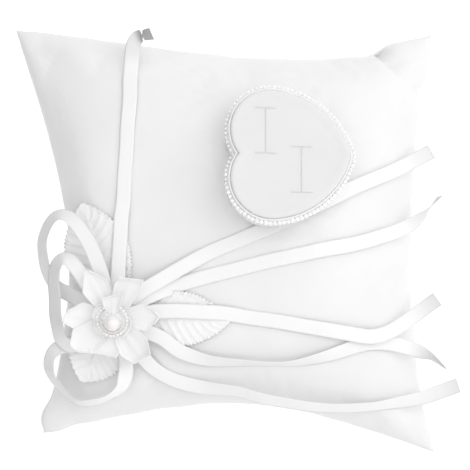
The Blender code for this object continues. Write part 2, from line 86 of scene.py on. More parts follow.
class Weave(Enum):
    """How a cloth's threads show: pitch of the threads and depth of the relief."""

    SATIN = (0.42 * MM, 0.10)
    RIBBON = (0.36 * MM, 0.14)
    EMBOSSED = (0.5 * MM, 0.22)
    FLOCK = (0.28 * MM, 0.5)
    FELT = (0.6 * MM, 0.6)

    @property
    def pitch(self) -> float:
        """Distance from thread to thread."""
        return self.value[0]

    @property
    def relief(self) -> float:
        """Strength of the weave's bump."""
        return self.value[1]


class Shader:
    """A material's node tree round one Principled shader."""

    def __init__(self, name: str) -> None:
        """Start a material.

        Args:
            name: The material's name.
        """
        self.material = bpy.data.materials.new(name)
        self.material.use_nodes = True
        self.nodes = self.material.node_tree.nodes
        self.links = self.material.node_tree.links
        self.surface = self.nodes["Principled BSDF"]
        self.surface.inputs["Subsurface Radius"].default_value = (1, 1, 1)

    def constant(self, **values: float) -> None:
        """Set plain values on the Principled shader.

        Args:
            **values: Socket names in lower case with underscores, and their values.
        """
        for name, value in values.items():
            self.surface.inputs[SOCKETS[name]].default_value = value

    def node(self, kind: str, **values: float) -> bpy.types.Node:
        """Add a node and set its named inputs.

        Args:
            kind: Blender's node type.
            **values: Input names with underscores for spaces, and their values.

        Returns:
            The new node.
        """
        made = self.nodes.new(kind)
        for name, value in values.items():
            made.inputs[name.replace("_", " ")].default_value = value
        return made

    def place(self, uv: bool) -> Socket:
        """Texture position: laid-out cloth coordinates, or the object's own space.

        Args:
            uv: Whether the piece has a layout in metres.

        Returns:
            The socket that gives the position.
        """
        made = self.nodes.new("ShaderNodeTexCoord")
        return made.outputs["UV" if uv else "Object"]

    def noise(self, place: Socket, size: float, detail: float = 3) -> Socket:
        """Noise of a given feature size.

        Args:
            place: Texture position.
            size: Size of a feature.
            detail: Octaves of finer noise.

        Returns:
            The noise value's socket.
        """
        made = self.node("ShaderNodeTexNoise", Scale=1 / size, Detail=detail)
        self.links.new(place, made.inputs["Vector"])
        return made.outputs["Fac"]

    def bands(self, place: Socket, pitch: float, axis: str) -> Socket:
        """Parallel threads along one axis of the layout.

        Args:
            place: Texture position.
            pitch: Distance from thread to thread.
            axis: "X" or "Y", the axis that the threads repeat along.

        Returns:
            The band value's socket.
        """
        made = self.node("ShaderNodeTexWave", Scale=1 / (pitch * 20), Distortion=0.6, Detail=1)
        made.bands_direction = axis
        self.links.new(place, made.inputs["Vector"])
        return made.outputs["Fac"]

    def mix(self, factor: Socket, low: Sequence[float], high: Sequence[float]) -> Socket:
        """Colour between two colours by a factor.

        Args:
            factor: Socket of the mixing factor.
            low: Colour at zero.
            high: Colour at one.

        Returns:
            The mixed colour's socket.
        """
        made = self.nodes.new("ShaderNodeValToRGB")
        made.color_ramp.elements[0].position = 0.3
        made.color_ramp.elements[1].position = 0.7
        made.color_ramp.elements[0].color = (*low, 1)
        made.color_ramp.elements[1].color = (*high, 1)
        self.links.new(factor, made.inputs["Fac"])
        return made.outputs["Color"]

    def spread(self, factor: Socket, low: float, high: float) -> Socket:
        """Value spread between two limits.

        Args:
            factor: Socket of a value from zero to one.
            low: Value at zero.
            high: Value at one.

        Returns:
            The spread value's socket.
        """
        made = self.nodes.new("ShaderNodeMapRange")
        made.inputs["To Min"].default_value = low
        made.inputs["To Max"].default_value = high
        self.links.new(factor, made.inputs["Value"])
        return made.outputs["Result"]

    def scaled(self, colour: Socket, layer: str) -> Socket:
        """Colour scaled by a value stored on the mesh.

        Args:
            colour: Socket of the colour.
            layer: Name of the stored value.

        Returns:
            The scaled colour's socket.
        """
        stored = self.nodes.new("ShaderNodeAttribute")
        stored.attribute_name = layer
        made = self.nodes.new("ShaderNodeVectorMath")
        made.operation = "SCALE"
        self.links.new(colour, made.inputs[0])
        self.links.new(stored.outputs["Fac"], made.inputs["Scale"])
        return made.outputs[0]

    def bump(self, height: Socket, strength: float, depth: float) -> None:
        """Add one layer of relief to the surface's normal.

        Args:
            height: Socket of the height.
            strength: Share of the relief that shows.
            depth: Height of the relief.
        """
        made = self.node("ShaderNodeBump", Strength=strength, Distance=depth)
        self.links.new(height, made.inputs["Height"])
        normal = self.surface.inputs["Normal"]
        if normal.is_linked:
            self.links.new(normal.links[0].from_socket, made.inputs["Normal"])
        self.links.new(made.outputs["Normal"], normal)


SOCKETS = {
    "roughness": "Roughness",
    "specular": "Specular IOR Level",
    "sheen": "Sheen Weight",
    "sheen_roughness": "Sheen Roughness",
    "coat": "Coat Weight",
    "coat_roughness": "Coat Roughness",
    "anisotropy": "Anisotropic",
    "subsurface": "Subsurface Weight",
    "subsurface_scale": "Subsurface Scale",
}


@dataclass(frozen=True)
class Cloth:
    """A woven or flocked cloth."""

    name: str
    tone: float
    weave: Weave
    roughness: float = 0.5
    sheen: float = 0.3
    coat: float = 0.0
    anisotropy: float = 0.0
    has_layout: bool = True
    bleed: float = 0.0
    bleed_depth: float = 3 * MM
    # Whether the colour is scaled by a painted shade stored on the mesh.
    has_painted_shade: bool = False
    patch: float = 22 * MM
    patch_tone: float = 0.97
    slub: float = 2.5 * MM
    slub_rough: float = 0.06

    def make(self) -> Finish:
        """Build the material.

        Returns:
            The finished material.
        """
        shader = Shader(self.name)
        place = shader.place(self.has_layout)
        shade = [self.tone] * 3
        patches = shader.noise(place, self.patch, 4)
        darker = [self.patch_tone * self.tone] * 3
        colour = shader.mix(patches, darker, shade)
        # Painted shade: the colour is scaled by the tone stored on the mesh, which darkens a ribbon where it
        # stands in shadow or faces away from the light.
        if self.has_painted_shade:
            colour = shader.scaled(colour, "shade")
        shader.links.new(colour, shader.surface.inputs["Base Color"])
        slubs = shader.noise(place, self.slub, 2)
        rough = shader.spread(slubs, self.roughness - self.slub_rough, self.roughness + self.slub_rough)
        shader.links.new(rough, shader.surface.inputs["Roughness"])
        shader.constant(
            sheen=self.sheen,
            sheen_roughness=0.35,
            coat=self.coat,
            coat_roughness=0.3,
            anisotropy=self.anisotropy,
            specular=0.4,
            subsurface=self.bleed,
            subsurface_scale=self.bleed_depth,
        )
        pitch, relief = self.weave.pitch, self.weave.relief
        if self.weave in (Weave.FLOCK, Weave.FELT):
            shader.bump(shader.noise(place, pitch, 2), relief, 0.25 * MM)
            shader.bump(shader.noise(place, 6 * pitch, 3), 0.25, 0.2 * MM)
        else:
            shader.bump(shader.bands(place, pitch, "X"), relief, 0.05 * MM)
            shader.bump(shader.bands(place, 0.8 * pitch, "Y"), relief, 0.05 * MM)
            shader.bump(slubs, 0.06, 0.12 * MM)
        return shader.material


@dataclass(frozen=True)
class Stone:
    """Clear cut stones, painted in small random cells from dark to bright: painted glints and painted dark
    reflections stand in for the light that the facets catch.
    """

    name: str
    painted_dark: float = 0.88
    painted_glint: float = 1.0
    facet: float = 1.1 * MM
    smooth: float = 0.28
    dull: float = 0.42

    def make(self) -> Finish:
        """Build the material.

        Returns:
            The finished material.
        """
        shader = Shader(self.name)
        place = shader.place(False)
        # Painted glints and reflections: each small cell of the surface gets a random tone between the dark
        # and the bright value.
        glint_cells = shader.node("ShaderNodeTexVoronoi", Scale=1 / self.facet)
        shader.links.new(place, glint_cells.inputs["Vector"])
        split = shader.nodes.new("ShaderNodeSeparateColor")
        shader.links.new(glint_cells.outputs["Color"], split.inputs["Color"])
        tone = shader.mix(split.outputs["Red"], [self.painted_dark] * 3, [self.painted_glint] * 3)
        shader.links.new(tone, shader.surface.inputs["Base Color"])
        fine = shader.noise(place, 0.5 * MM, 1)
        shader.links.new(shader.spread(fine, self.smooth, self.dull), shader.surface.inputs["Roughness"])
        shader.constant(coat=0.5, coat_roughness=0.12, specular=0.6, subsurface=0.5, subsurface_scale=1 * MM)
        shader.bump(fine, 0.05, 0.05 * MM)
        return shader.material


@dataclass(frozen=True)
class Gloss:
    """A smooth moulded or coated surface: plastic, glue or pearl."""

    name: str
    colour: tuple[float, float, float]
    roughness: float
    coat: float = 0.0
    sheen: float = 0.0
    speck: float = 0.8 * MM
    cloud: float = 4 * MM
    cloud_tone: float = 0.97

    def make(self) -> Finish:
        """Build the material.

        Returns:
            The finished material.
        """
        shader = Shader(self.name)
        place = shader.place(False)
        clouds = shader.noise(place, self.cloud, 3)
        low = [c * self.cloud_tone for c in self.colour]
        shader.links.new(shader.mix(clouds, low, self.colour), shader.surface.inputs["Base Color"])
        fine = shader.noise(place, self.speck, 2)
        rough = shader.spread(fine, self.roughness, self.roughness + 0.08)
        shader.links.new(rough, shader.surface.inputs["Roughness"])
        shader.constant(coat=self.coat, coat_roughness=0.06, sheen=self.sheen)
        shader.bump(fine, 0.05, 0.05 * MM)
        return shader.material


@dataclass
class Wardrobe:
    """All finishes, each made once."""

    panel: Finish = field(init=False)
    ribbon: Finish = field(init=False)
    petal: Finish = field(init=False)
    leaf: Finish = field(init=False)
    flock: Finish = field(init=False)
    felt: Finish = field(init=False)
    stones: Finish = field(init=False)
    plastic: Finish = field(init=False)
    glue: Finish = field(init=False)
    pearl: Finish = field(init=False)
    thread: Finish = field(init=False)

    def __post_init__(self) -> None:
        """Make every material."""
        self.panel = Cloth("panel_satin", 0.88, Weave.SATIN, 0.5, 0.15, 0.04, 0.3, bleed=0.35).make()
        # The ribbon satin's colour is scaled by the painted shade that each ribbon stores.
        ribbon = Cloth("ribbon_satin", 0.93, Weave.RIBBON, 0.4, 0.12, 0.06, 0.4, has_painted_shade=True)
        self.ribbon = ribbon.make()
        self.petal = Cloth("petal_satin", 0.92, Weave.RIBBON, 0.38, 0.2, 0.1, 0.3).make()
        self.leaf = Cloth("leaf_cloth", 0.93, Weave.EMBOSSED, 0.5, 0.2, 0.04).make()
        self.flock = Cloth("flocked_foam", 0.8, Weave.FLOCK, 0.85, 0.5, has_layout=False, bleed=0.3).make()
        self.felt = Cloth("felt", 0.88, Weave.FELT, 0.95, 0.3, has_layout=False).make()
        self.stones = Stone("clear_stones").make()
        self.plastic = Gloss("white_plastic", (0.94, 0.94, 0.94), 0.4).make()
        self.glue = Gloss("set_glue", (0.84, 0.84, 0.8), 0.35, 0.3).make()
        self.pearl = Gloss("pearl_coat", (0.93, 0.9, 0.89), 0.12, 0.8, 0.2, 1.5 * MM).make()
        self.thread = Gloss("binding_thread", (0.88, 0.88, 0.87), 0.7, 0.0, 0.3, 0.3 * MM).make()


# ---------------------------------------------------------------- mesh helpers


def plain_mesh(name: str, points: Points, faces: Sequence[Sequence[int]]) -> bpy.types.Mesh:
    """Mesh from its points and faces.

    Args:
        name: The mesh's name.
        points: Corner positions.
        faces: Corner numbers of each face.

    Returns:
        The mesh.
    """
    data = bpy.data.meshes.new(name)
    data.from_pydata([tuple(p) for p in points], [], [tuple(f) for f in faces])
    return data


def closed_mesh(name: str, points: Points, faces: Sequence[Sequence[int]]) -> bpy.types.Mesh:
    """Mesh from its points and faces, all of them turned outwards.

    Args:
        name: The mesh's name.
        points: Corner positions.
        faces: Corner numbers of each face.

    Returns:
        The mesh.
    """
    data = plain_mesh(name, points, faces)
    work = bmesh.new()
    work.from_mesh(data)
    bmesh.ops.recalc_face_normals(work, faces=work.faces)
    work.to_mesh(data)
    work.free()
    return data


def stand(name: str, data: bpy.types.ID) -> Piece:
    """Put an object with its data in the scene.

    Args:
        name: The object's name.
        data: Its mesh, camera or light.

    Returns:
        The object.
    """
    made = bpy.data.objects.new(name, data)
    bpy.context.scene.collection.objects.link(made)
    return made


def add_piece(
    name: str,
    points: Points,
    faces: Sequence[Sequence[int]],
    finish: Finish,
    layout: np.ndarray | None = None,
    smooth: bool = True,
) -> Piece:
    """Make a mesh piece that rides on the object's one body.

    Args:
        name: Name of the piece.
        points: Corner positions in the row frame.
        faces: Corner numbers of each face.
        finish: The piece's material.
        layout: Flat cloth position of each corner, in metres.
        smooth: Whether faces are shaded smooth.

    Returns:
        The new object.
    """
    data = closed_mesh(name, points, faces)
    if layout is not None:
        flat = data.uv_layers.new(name="cloth")
        for loop in data.loops:
            flat.data[loop.index].uv = layout[loop.vertex_index]
    for face in data.polygons:
        face.use_smooth = smooth
    data.materials.append(finish)
    made = stand(name, data)
    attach(made, BODY)
    return made


def grid_faces(rows: int, columns: int, start: int = 0) -> Faces:
    """Quads of a grid of points listed row by row.

    Args:
        rows: Number of rows of points.
        columns: Number of points in each row.
        start: Number of the first point.

    Returns:
        The faces.
    """
    faces = []
    for j in range(rows - 1):
        for i in range(columns - 1):
            a = start + j * columns + i
            faces.append((a, a + 1, a + columns + 1, a + columns))
    return faces


def thick(points: np.ndarray, normals: np.ndarray, half: np.ndarray | float) -> tuple[np.ndarray, list]:
    """Closed sheet with a thickness round a grid of points.

    Args:
        points: Grid of middle points, rows by columns by 3.
        normals: Grid of unit normals.
        half: Half of the thickness, one value or one for each point.

    Returns:
        The corner points and the faces.
    """
    rows, columns = points.shape[:2]
    half = np.broadcast_to(half, (rows, columns))[..., None]
    both = np.concatenate([(points + normals * half), (points - normals * half)])
    count = rows * columns
    faces = grid_faces(rows, columns)
    faces += [tuple(reversed(f)) for f in grid_faces(rows, columns, count)]
    rim = [i for i in range(columns)]
    rim += [j * columns + columns - 1 for j in range(1, rows)]
    rim += [(rows - 1) * columns + i for i in range(columns - 2, -1, -1)]
    rim += [j * columns for j in range(rows - 2, 0, -1)]
    for a, b in zip(rim, rim[1:] + rim[:1]):
        faces.append((a, a + count, b + count, b))
    return both.reshape(-1, 3), faces


def grid_normals(points: np.ndarray) -> np.ndarray:
    """Unit normals of a grid of points.

    Args:
        points: Grid of points, rows by columns by 3.

    Returns:
        Grid of unit normals on the side that rows cross columns give.
    """
    along = np.gradient(points, axis=0)
    across = np.gradient(points, axis=1)
    normal = np.cross(across, along)
    return normal / np.maximum(np.linalg.norm(normal, axis=2, keepdims=True), 1e-12)


def ease(t: np.ndarray | float) -> np.ndarray | float:
    """Smooth step from zero to one."""
    t = np.clip(t, 0, 1)
    return t * t * (3 - 2 * t)


def ripple(x: float, y: float, size: float, seed: float = 0.0) -> float:
    """Noise from -1 to 1 at a place in the plan."""
    return noise.noise(Vector((x / size, y / size, seed)))


# ---------------------------------------------------------------- cushion


@dataclass
class CushionShape:
    """The cushion's form, the same that its solids have."""

    top: Pairs = ((-100, 101), (-40, 97), (42, 73), (99, 99))
    right: Pairs = ((99, 99), (88, 37), (83, -40), (100, -101))
    bottom: Pairs = ((-87, -92), (-2, -71), (20, -72), (100, -101))
    left: Pairs = ((-100, 101), (-74, 18), (-65, -3), (-87, -92))
    seam_z: float = 30 * MM
    seam_half_gap: float = 0.9 * MM
    crown: float = 37 * MM
    belly: float = 35 * MM
    fullness: float = 0.45
    edge_band: float = 0.07
    heart_at: tuple[float, float] = (28 * MM, 36.5 * MM)
    heart_sink: float = 3.2 * MM
    corsage_at: tuple[float, float] = (-51 * MM, -34.5 * MM)
    corsage_sink: float = 3 * MM
    corsage_lean: float = 0.4
    seat_round: float = 5 * MM
    patch_span: float = 0.18
    patch_rounds: int = 25
    relief: np.ndarray = field(default_factory=lambda: np.zeros((2, 2)))
    heart_seat: Matrix = field(init=False)
    corsage_seat: Matrix = field(init=False)

    def __post_init__(self) -> None:
        """Work out the two flat seats."""
        self.heart_seat = self.seat(self.heart_at, self.heart_sink, 1.0)
        self.corsage_seat = self.seat(self.corsage_at, self.corsage_sink, self.corsage_lean)

    @staticmethod
    def curve(points: Pairs, t: np.ndarray) -> np.ndarray:
        """Points of a seam edge, in metres.

        Args:
            points: The edge's two ends and the two points that bend it, in millimetres.
            t: Shares of the way along.

        Returns:
            Positions, with x and y on the last axis.
        """
        a, b, c, d = (np.array(p) * MM for p in points)
        t = np.asarray(t, float)[..., None]
        s = 1 - t
        return a * s**3 + b * 3 * s * s * t + c * 3 * s * t * t + d * t**3

    def plan(self, u: np.ndarray, v: np.ndarray) -> np.ndarray:
        """Plan position between the four seams.

        Args:
            u: Share of the way to the right.
            v: Share of the way up.

        Returns:
            Plan positions, with x and y on the last axis.
        """
        u, v = np.asarray(u, float), np.asarray(v, float)
        a, b = u[..., None], v[..., None]
        corners = self.curve(self.bottom, np.zeros_like(u)) * (1 - a) * (1 - b)
        corners = corners + self.curve(self.bottom, np.ones_like(u)) * a * (1 - b)
        corners = corners + self.curve(self.top, np.zeros_like(u)) * (1 - a) * b
        corners = corners + self.curve(self.top, np.ones_like(u)) * a * b
        edges = self.curve(self.bottom, u) * (1 - b) + self.curve(self.top, u) * b
        edges = edges + self.curve(self.left, 1 - v) * (1 - a) + self.curve(self.right, 1 - v) * a
        return edges - corners

    def place(self, x: np.ndarray, y: np.ndarray) -> tuple[np.ndarray, np.ndarray]:
        """Patch position whose plan position is nearest.

        Args:
            x: Positions to the right.
            y: Positions upwards.

        Returns:
            The shares u and v.
        """
        x, y = np.asarray(x, float), np.asarray(y, float)
        u, v = np.full_like(x, 0.5), np.full_like(x, 0.5)
        for _ in range(self.patch_rounds):
            here = self.plan(u, v)
            u = np.clip(u + (x - here[..., 0]) / self.patch_span, 0, 1)
            v = np.clip(v + (y - here[..., 1]) / self.patch_span, 0, 1)
        return u, v

    def swell(self, u: np.ndarray, v: np.ndarray) -> np.ndarray:
        """Share of the full rise: nought on the seams, one in the middle."""
        full = np.maximum(np.sin(np.pi * u) * np.sin(np.pi * v), 0)
        return full**self.fullness

    def dome(self, x: np.ndarray, y: np.ndarray, band: float = 0.0) -> np.ndarray:
        """Height of the front before anything presses into it.

        Args:
            x: Positions to the right.
            y: Positions upwards.
            band: Share of the width at each seam whose height stays level.

        Returns:
            Heights.
        """
        u, v = self.place(x, y)
        u, v = np.clip(u, band, 1 - band), np.clip(v, band, 1 - band)
        return self.seam_z + self.seam_half_gap + self.crown * self.swell(u, v)

    @staticmethod
    def normal(height: Callable, x: float, y: float, lean: float = 1.0) -> Vector:
        """Upward normal of a height function.

        Args:
            height: Function of x and y.
            x: Position to the right.
            y: Position upwards.
            lean: Share of the slope that counts.

        Returns:
            The unit normal.
        """
        step = 2 * MM
        xs = np.array([x + step, x - step, x, x])
        ys = np.array([y, y, y + step, y - step])
        h = height(xs, ys)
        dx, dy = (h[0] - h[1]) / (2 * step), (h[2] - h[3]) / (2 * step)
        return Vector((-dx * lean, -dy * lean, 1)).normalized()

    def seat(self, at: tuple[float, float], sink: float, lean: float) -> Matrix:
        """Frame of a flat seat pressed into the front.

        Args:
            at: Plan position of the seat's middle.
            sink: Depth of the seat below the dome.
            lean: Share of the slope that the seat follows.

        Returns:
            The seat's frame, its Z axis out of the cushion.
        """
        up = self.normal(self.dome, at[0], at[1], lean)
        across = Vector((1, 0, 0))
        across = (across - up * across.dot(up)).normalized()
        axes = Matrix((across, up.cross(across), up)).transposed().to_4x4()
        level = float(self.dome(np.array([at[0]]), np.array([at[1]]))[0])
        return Matrix.Translation((at[0], at[1], level - sink)) @ axes

    @staticmethod
    def seat_level(seat: Matrix, x: np.ndarray, y: np.ndarray) -> np.ndarray:
        """Height of a seat's plane."""
        origin, up = seat.translation, seat.col[2].to_3d()
        return origin.z - (up.x * (x - origin.x) + up.y * (y - origin.y)) / up.z

    def pressed(self, level: np.ndarray, x: np.ndarray, y: np.ndarray) -> np.ndarray:
        """A height with both seats pressed into it, their rims rounded.

        Args:
            level: Heights of the front.
            x: Positions to the right.
            y: Positions upwards.

        Returns:
            Heights.
        """
        for seat in (self.heart_seat, self.corsage_seat):
            plane = self.seat_level(seat, x, y)
            near = np.maximum(1 - np.abs(level - plane) / self.seat_round, 0)
            level = np.minimum(level, plane) - near**2 * self.seat_round / 4
        return level

    def lay_level(self, x: np.ndarray, y: np.ndarray) -> np.ndarray:
        """Level that ribbons and leaves lie on, running on past the seams.

        Args:
            x: Positions to the right.
            y: Positions upwards.

        Returns:
            Heights.
        """
        u, v = self.place(x, y)
        level = self.pressed(self.dome(x, y, self.edge_band), x, y)
        return level + self.sampled(self.relief, u, v)

    @staticmethod
    def sampled(grid: np.ndarray, u: np.ndarray, v: np.ndarray) -> np.ndarray:
        """Value of an even grid over the patch at given shares.

        Args:
            grid: Values by row of v and column of u.
            u: Shares of the way to the right.
            v: Shares of the way up.

        Returns:
            Values between the nearest four.
        """
        last = grid.shape[0] - 1
        i = np.clip((u * last).astype(int), 0, last - 1)
        j = np.clip((v * last).astype(int), 0, last - 1)
        a, b = u * last - i, v * last - j
        low = grid[j, i] * (1 - a) + grid[j, i + 1] * a
        high = grid[j + 1, i] * (1 - a) + grid[j + 1, i + 1] * a
        return low * (1 - b) + high * b


@dataclass(frozen=True)
class Crease:
    """A fold in the front panel from one place in the plan to another, in millimetres."""

    start: tuple[float, float]
    end: tuple[float, float]
    depth: float
    wide: float
    sharp: float = 1.0
    bank: float = 0.0

    def lift(self, x: np.ndarray, y: np.ndarray) -> np.ndarray:
        """Height that the fold adds.

        Args:
            x: Positions to the right.
            y: Positions upwards.

        Returns:
            Heights: a valley that rises slowly to its left and quickly to its right.
        """
        a, b = np.array(self.start) * MM, np.array(self.end) * MM
        reach = float(np.linalg.norm(b - a))
        ahead = (b - a) / reach
        along = (x - a[0]) * ahead[0] + (y - a[1]) * ahead[1]
        across = (y - a[1]) * ahead[0] - (x - a[0]) * ahead[1]
        past = np.maximum(0, -along) + np.maximum(0, along - reach)
        fade = np.exp(-((past / (0.6 * self.wide * MM)) ** 2))
        fade = fade * (1 - 0.75 * ease(along / reach))
        width = np.where(across > 0, self.wide, self.wide * self.sharp) * MM
        valley = np.exp(-((across / width) ** 2))
        bank = np.exp(-(((across + 1.6 * self.wide * self.sharp * MM) / (0.9 * self.wide * MM)) ** 2))
        return MM * fade * (self.bank * bank - self.depth * valley)


@dataclass(frozen=True)
class Nip:
    """A place where the seam is drawn in or pushed out, in millimetres."""

    at: tuple[float, float]
    push: tuple[float, float]
    reach: float


@dataclass
class Cushion:
    """The stuffed satin cover: a front and a back panel sewn on four sides."""

    shape: CushionShape
    front_steps: int = 210
    back_steps: int = 120
    cloth_steps: int = 60
    seam_lip: float = 0.3 * MM
    seam_wave: float = 0.6 * MM
    pucker: float = 0.13 * MM
    pucker_reach: float = 8 * MM
    most_move: float = 1.5 * MM
    settled_share: float = 0.7
    waist: float = 170 * MM
    sewn_reach: float = 14 * MM
    heart_hold: float = 25 * MM
    corsage_hold: float = 11 * MM
    relief_steps: int = 120
    least_relief: float = -0.4 * MM
    creases: Sequence[Crease] = (
        Crease((71, 91.5), (78.5, 83), 10, 6.4, 0.17, 0.9),
        Crease((82, 78), (86, 64), 0.5, 6.0),
        Crease((47, 88), (53, 82), 0.7, 2.4, 0.5, 0.3),
        Crease((59, 87), (66, 80), 0.8, 3.0, 0.4, 0.4),
        Crease((92.5, 72), (84, 74), 1.0, 3.4, 0.7),
        Crease((-62, 97), (-50, 80), 0.7, 6.0),
        Crease((-88, 94), (-66, 72), 0.8, 6.0),
        Crease((-30, 94), (-26, 82), 0.5, 5.0),
        Crease((12, 86), (10, 72), 0.5, 6.0),
        Crease((90, -19), (80, -14), 0.9, 3.0),
        Crease((90, 40), (78, 38), 0.5, 4.0),
        Crease((92, -80), (76, -72), 1.3, 5.0),
        Crease((72, -88), (68, -80), 1.0, 4.0),
        Crease((-82, -76), (-70, -72), 1.0, 4.0),
        Crease((-79, 44), (-68, 38), 0.5, 4.0),
        Crease((88, 96), (92, 86), 0.6, 4.0),
    )
    nips: Sequence[Nip] = (
        Nip((68, 89), (-0.4, -1.3), 6),
        Nip((78, 92.5), (0, 1.6), 5),
        Nip((86, 95), (-0.3, 1.7), 9),
        Nip((94.5, 70), (-2.6, 0), 6),
        Nip((-86, -83), (-2.6, 0.4), 7),
        Nip((90, -18), (-0.9, 0), 4),
        Nip((-72, -87), (0.2, 0.9), 5),
        Nip((97, 85), (1.2, 0.2), 7),
        Nip((-87, -91), (0.7, 0.5), 2.5),
        Nip((-89, -84), (-0.9, 0), 6),
        Nip((-80, -91), (0, -0.9), 6),
    )

    @staticmethod
    def spaced(steps: int) -> np.ndarray:
        """Shares of the width, closer together near the seams."""
        t = np.linspace(0, 1, steps + 1)
        return 0.6 * (1 - np.cos(np.pi * t)) / 2 + 0.4 * t

    def blank(self, steps: int, side: int) -> np.ndarray:
        """Grid of points of one stuffed panel before the cloth settles.

        Args:
            steps: Steps across the panel each way.
            side: 1 for the front and -1 for the back.

        Returns:
            Points by row, column and axis.
        """
        shape = self.shape
        u, v = np.meshgrid(self.spaced(steps), self.spaced(steps))
        plan = shape.plan(u, v)
        x, y = plan[..., 0], plan[..., 1]
        rise = shape.swell(u, v)
        if side > 0:
            z = shape.pressed(shape.seam_z + shape.crown * rise, x, y)
        else:
            z = np.maximum(shape.seam_z - shape.belly * rise, 0.0)
        return np.stack([x, y, z], axis=-1)

    def held(self, points: np.ndarray) -> np.ndarray:
        """Share of each front point's movement that the glued heart and corsage stop.

        Args:
            points: Points of the front by row, column and axis.

        Returns:
            Shares from nought to one.
        """
        share = np.zeros(points.shape[:2])
        seats = ((self.shape.heart_at, self.heart_hold), (self.shape.corsage_at, self.corsage_hold))
        for at, radius in seats:
            away = np.hypot(points[..., 0] - at[0], points[..., 1] - at[1])
            share = np.maximum(share, 1 - ease((away / radius - 0.85) / 0.5))
        return share

    def settle(self) -> tuple[np.ndarray, np.ndarray]:
        """Let the sewn cover swell over its filling as cloth does.

        Returns:
            Movement of every coarse grid point of the front and of the back.
        """
        n = self.cloth_steps
        front, back = self.blank(n, 1), self.blank(n, -1)
        count = (n + 1) ** 2
        number = np.arange(count).reshape(n + 1, n + 1)
        below = number.copy()
        below[1:-1, 1:-1] = count + np.arange((n - 1) ** 2).reshape(n - 1, n - 1)
        points = np.concatenate([front.reshape(-1, 3), back[1:-1, 1:-1].reshape(-1, 3)])
        faces = [tuple(int(number.flat[k]) for k in f) for f in grid_faces(n + 1, n + 1)]
        faces += [tuple(int(below.flat[k]) for k in reversed(f)) for f in grid_faces(n + 1, n + 1)]
        data = plain_mesh("cover_cloth", points, faces)
        cover = stand("cover_cloth", data)
        pins = cover.vertex_groups.new(name="sewn")
        share = self.held(front)
        share[0, :] = share[-1, :] = share[:, 0] = share[:, -1] = 1
        for k, weight in enumerate(share.reshape(-1)):
            if weight > 0.01:
                pins.add([k], float(weight), "REPLACE")
        moved = self.simulate(cover) - points
        size = np.linalg.norm(moved, axis=1, keepdims=True)
        moved = moved * (self.most_move * np.tanh(size / self.most_move) / np.maximum(size, 1e-9))
        bpy.data.objects.remove(cover)
        bpy.data.meshes.remove(data)
        return moved[:count].reshape(n + 1, n + 1, 3), moved[below]

    @staticmethod
    def simulate(cover: Piece) -> np.ndarray:
        """Run the cloth on the sewn cover.

        Args:
            cover: The cover, with its pinned points in the group "sewn".

        Returns:
            Where its points come to rest.
        """
        cloth = cover.modifiers.new("cloth", "CLOTH")
        cloth.settings.quality = 5
        cloth.settings.mass = 0.2
        cloth.settings.tension_stiffness = 20
        cloth.settings.compression_stiffness = 20
        cloth.settings.shear_stiffness = 8
        cloth.settings.bending_stiffness = 0.08
        cloth.settings.air_damping = 2
        cloth.settings.use_pressure = True
        cloth.settings.uniform_pressure_force = 4
        cloth.settings.shrink_min = -0.015
        cloth.settings.vertex_group_mass = "sewn"
        cloth.settings.effector_weights.gravity = 0
        cloth.point_cache.frame_start = 1
        cloth.point_cache.frame_end = CLOTH_FRAMES
        for number in range(1, CLOTH_FRAMES + 1):
            bpy.context.scene.frame_set(number)
        graph = bpy.context.evaluated_depsgraph_get()
        mesh = cover.evaluated_get(graph).to_mesh()
        rest = np.empty(len(mesh.vertices) * 3)
        mesh.vertices.foreach_get("co", rest)
        cover.evaluated_get(graph).to_mesh_clear()
        cover.modifiers.clear()
        bpy.context.scene.frame_set(1)
        return rest.reshape(-1, 3)

    @staticmethod
    def finer(grid: np.ndarray, steps: int) -> np.ndarray:
        """Resample a coarse grid with smooth curves between its points.

        Args:
            grid: Values by row, column and axis.
            steps: Steps of the finer grid each way.

        Returns:
            Values on the finer grid.
        """
        last = grid.shape[0] - 1
        weights = np.zeros((steps + 1, last + 1))
        for k in range(steps + 1):
            at = k / steps * last
            i = min(int(at), last - 1)
            t = at - i
            shares = (
                (-t + 2 * t * t - t**3) / 2,
                (2 - 5 * t * t + 3 * t**3) / 2,
                (t + 4 * t * t - 3 * t**3) / 2,
                (t**3 - t * t) / 2,
            )
            for step, share in zip((-1, 0, 1, 2), shares):
                weights[k, min(max(i + step, 0), last)] += share
        return np.einsum("ai,bj,ijc->abc", weights, weights, grid)

    def panel(self, steps: int, side: int, moved: np.ndarray) -> np.ndarray:
        """Grid of points of one finished panel.

        Args:
            steps: Steps across the panel each way.
            side: 1 for the front and -1 for the back.
            moved: Movement of the settled cloth on its coarse grid.

        Returns:
            Points by row, column and axis.
        """
        u, v = np.meshgrid(self.spaced(steps), self.spaced(steps))
        points = self.blank(steps, side)
        x, y = points[..., 0].copy(), points[..., 1].copy()
        reach = np.minimum.reduce([u, 1 - u, v, 1 - v]) * self.waist
        sewn = ease(reach / self.sewn_reach)
        points = points + self.settled_share * self.finer(moved, steps) * sewn[..., None]
        wave = np.vectorize(ripple)
        free = 1 - self.held(points) if side > 0 else np.ones_like(x)
        small = self.pucker * np.exp(-reach / self.pucker_reach) * wave(x, y, 6.5 * MM, 3.0 * side)
        soft = 0.2 * MM * wave(x, y, 17 * MM, 5.0 * side) + 0.35 * MM * wave(x, y, 38 * MM, 9.0)
        soft = soft + 0.05 * MM * wave(x, y, 8 * MM, 2.0 * side)
        lift = small * ease(reach / (1.2 * MM)) + soft * ease(reach / (6 * MM))
        if side > 0:
            for crease in self.creases:
                lift = lift + crease.lift(x, y) * ease(reach / (1.5 * MM))
        points[..., 2] += side * lift * free
        points[..., :2] += self.seam_push(x, y, reach)
        points[..., 2] = np.maximum(points[..., 2], 0.0)
        return points

